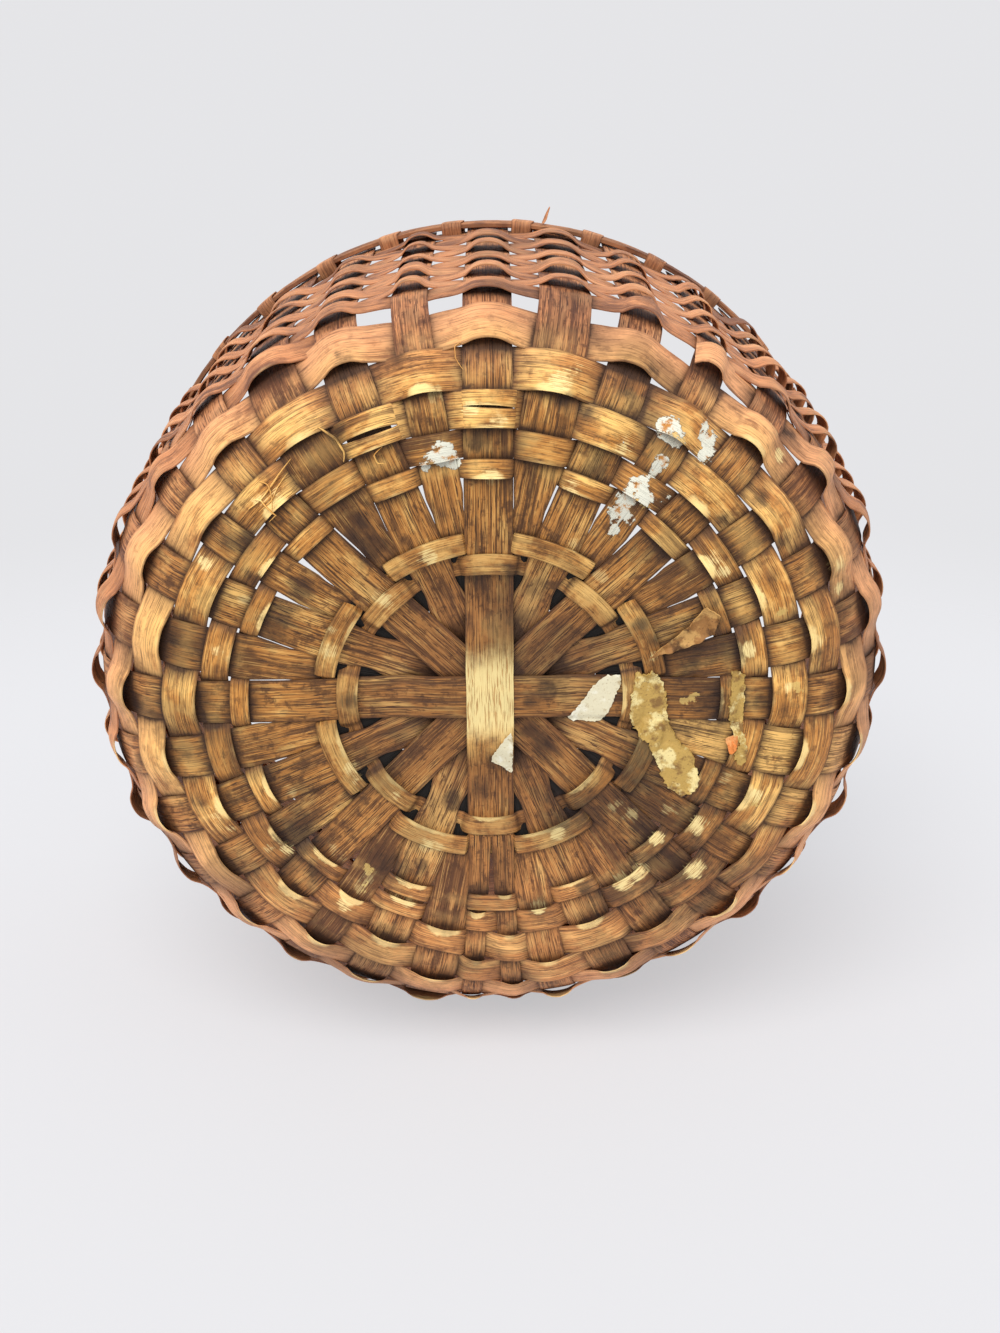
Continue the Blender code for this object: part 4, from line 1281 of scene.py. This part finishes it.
laid_sheet("gum_sheet_2", gum_outline_2, old_gum, 0.0006, 0.0005, 0.0008, 0.00035, 9)


# A small chip of orange paper lies in a notch at the edge of the second sheet of gum. It is thin
# and torn all round, and it stands a little proud of the wood.
chip_outline = ((109.5, 19.2), (114.8, 17.2), (114.8, 24.3), (111.7, 26.8))
orange_plain = (0.72, 0.24, 0.06)
orange_stain = (0.35, 0.10, 0.03)
orange_pale = (0.85, 0.45, 0.18)
orange_paper = aged_sheet("orange_paper", orange_plain, orange_stain, orange_pale, 0.56, 0.7, 0.0003)
laid_sheet("orange_chip", chip_outline, orange_paper, 0.0003, 0.0012, 0.0008, 0.00015, 11)


# A flake of ash has split up off the splint beside it and stands open like a leaf. It is laid
# over the weave in the same way as the sheets.
flake_outline = (
    (73.0, -21.5), (82.6, -29.1), (90.4, -36.5), (98.1, -46.4), (104.4, -42.5), (102.1, -33.0),
    (95.1, -28.2), (86.3, -24.3),
)
flake_plain = (0.34, 0.16, 0.048)
flake_stain = (0.09, 0.04, 0.015)
flake_pale = (0.62, 0.36, 0.12)
flake_wood = aged_sheet("flake_wood", flake_plain, flake_stain, flake_pale, 0.50, 0.6, 0.0003)
laid_sheet("lifted_flake", flake_outline, flake_wood, 0.0005, 0.0009, 0.0030, 0.00005, 13)


# The floor under the basket as it lies on its side, plain and pale. It fades into the equally
# pale surroundings, and it is clear from behind, so that it hides nothing in a view from there.
floor_level = 0.1975
floor_half = 3.0
floor_clear_from = 0.55
floor_clear_to = 1.10
floor_plain_share = 0.62
plain_pale = (0.785, 0.785, 0.805, 1.0)


def seen_plainly(tree):
    """1 for rays from the camera and for mirrored or refracted ones, else 0."""
    rays = tree.nodes.new("ShaderNodeLightPath").outputs
    seen = maths(tree, "MAXIMUM", rays["Is Camera Ray"], rays["Is Glossy Ray"])
    return maths(tree, "MAXIMUM", seen, rays["Is Transmission Ray"])


floor_mesh = bpy.data.meshes.new("floor")
corners = [(x * floor_half, floor_level, z * floor_half) for x, z in ((-1, -1), (1, -1), (1, 1), (-1, 1))]
floor_mesh.from_pydata(corners, [], [(0, 1, 2, 3)])
floor = bpy.data.objects.new("floor", floor_mesh)
bpy.context.scene.collection.objects.link(floor)
floor_paint = bpy.data.materials.new("pale_floor")
floor_paint.use_nodes = True
tree = floor_paint.node_tree
shader = tree.nodes["Principled BSDF"]
shader.inputs["Base Color"].default_value = (0.77, 0.78, 0.82, 1.0)
shader.inputs["Roughness"].default_value = 0.7
shader.inputs["Specular IOR Level"].default_value = 0.1
behind = add_node(tree, "ShaderNodeNewGeometry").outputs["Backfacing"]
floor_place = new_node(tree, "ShaderNodeTexCoord").outputs["Object"]
from_middle = add_node(tree, "ShaderNodeVectorMath", {0: floor_place}, operation="LENGTH").outputs["Value"]
values = {"Value": from_middle, "From Min": floor_clear_from, "From Max": floor_clear_to}
far = add_node(tree, "ShaderNodeMapRange", values, interpolation_type="SMOOTHSTEP").outputs[0]
unseen = maths(tree, "MAXIMUM", behind, far)
clear = tree.nodes.new("ShaderNodeBsdfTransparent").outputs[0]
plain = add_node(tree, "ShaderNodeEmission", {"Color": plain_pale, "Strength": 1.0}).outputs[0]
half_plain = maths(tree, "MULTIPLY", seen_plainly(tree), floor_plain_share)
paint = add_node(tree, "ShaderNodeMixShader", {0: half_plain, 1: shader.outputs[0], 2: plain}).outputs[0]
mixed = add_node(tree, "ShaderNodeMixShader", {0: unseen, 1: paint, 2: clear})
tree.links.new(mixed.outputs[0], tree.nodes["Material Output"].inputs["Surface"])
floor_mesh.materials.append(floor_paint)


# Plain soft light: a pale sky all round and one broad lamp above the basket as it lies, in
# front of it and to the left.
scene = bpy.context.scene
scene.view_settings.view_transform = "Standard"
sky = bpy.data.worlds.new("studio")
scene.world = sky
sky.use_nodes = True
tree = sky.node_tree
backdrop = add_node(tree, "ShaderNodeBackground", {"Color": plain_pale, "Strength": 1.0})
glow = tree.nodes["Background"]
glow.inputs["Color"].default_value = (0.95, 0.97, 1.0, 1.0)
glow.inputs["Strength"].default_value = 0.66
values = {0: seen_plainly(tree), 1: glow.outputs[0], 2: backdrop.outputs[0]}
mixed = add_node(tree, "ShaderNodeMixShader", values)
tree.links.new(mixed.outputs[0], tree.nodes["World Output"].inputs["Surface"])
lamp = bpy.data.lights.new("broad_lamp", "SUN")
lamp.energy = 2.45
lamp.angle = 45 * pi / 180
lamp.color = (1.0, 0.97, 0.93)
lamp_stand = bpy.data.objects.new("broad_lamp", lamp)
lamp_stand.rotation_mode = "QUATERNION"
light_direction = Vector((0.18, 0.80, 0.56))
lamp_stand.rotation_quaternion = light_direction.to_track_quat("-Z", "Y")
scene.collection.objects.link(lamp_stand)


# The camera looks at the bottom from a little above the lying basket, at the place and lens that
# the photograph was fitted with.
camera_distance = 0.808
tilt = 21.10 * pi / 180
yaw = -1.29 * pi / 180
roll = -2.55 * pi / 180
spin = -3.14 * pi / 180
focal_pixels = 1744.0
frame_pixels = (1000.0, 1333.0)
film_width = 36.0
centre_pixel = (490.0, 700.0)
turn_in_picture = Matrix(((cos(spin), -sin(spin), 0), (-sin(spin), -cos(spin), 0), (0, 0, 1)))
tilt_up = Matrix(((1, 0, 0), (0, cos(tilt), sin(tilt)), (0, -sin(tilt), cos(tilt))))
yaw_round = Matrix(((cos(yaw), 0, sin(yaw)), (0, 1, 0), (-sin(yaw), 0, cos(yaw))))
roll_over = Matrix(((cos(roll), -sin(roll), 0), (sin(roll), cos(roll), 0), (0, 0, 1)))
to_view = roll_over @ yaw_round @ tilt_up @ turn_in_picture
shift_right = (centre_pixel[0] - frame_pixels[0] / 2) / focal_pixels * camera_distance
shift_up = -(centre_pixel[1] - frame_pixels[1] / 2) / focal_pixels * camera_distance
offset = Vector((shift_right, shift_up, camera_distance))
camera_data = bpy.data.cameras.new("camera")
camera_data.lens = focal_pixels / frame_pixels[1] * film_width
camera_data.sensor_width = film_width
camera_data.sensor_fit = "AUTO"
camera = bpy.data.objects.new("camera", camera_data)
scene.collection.objects.link(camera)
place = -(to_view.transposed() @ offset) + Vector((0.0, 0.0, standing_lift))
facing = Matrix((to_view[0], to_view[1], -to_view[2])).transposed()
camera.matrix_world = Matrix.Translation(place) @ facing.to_4x4()
scene.camera = camera
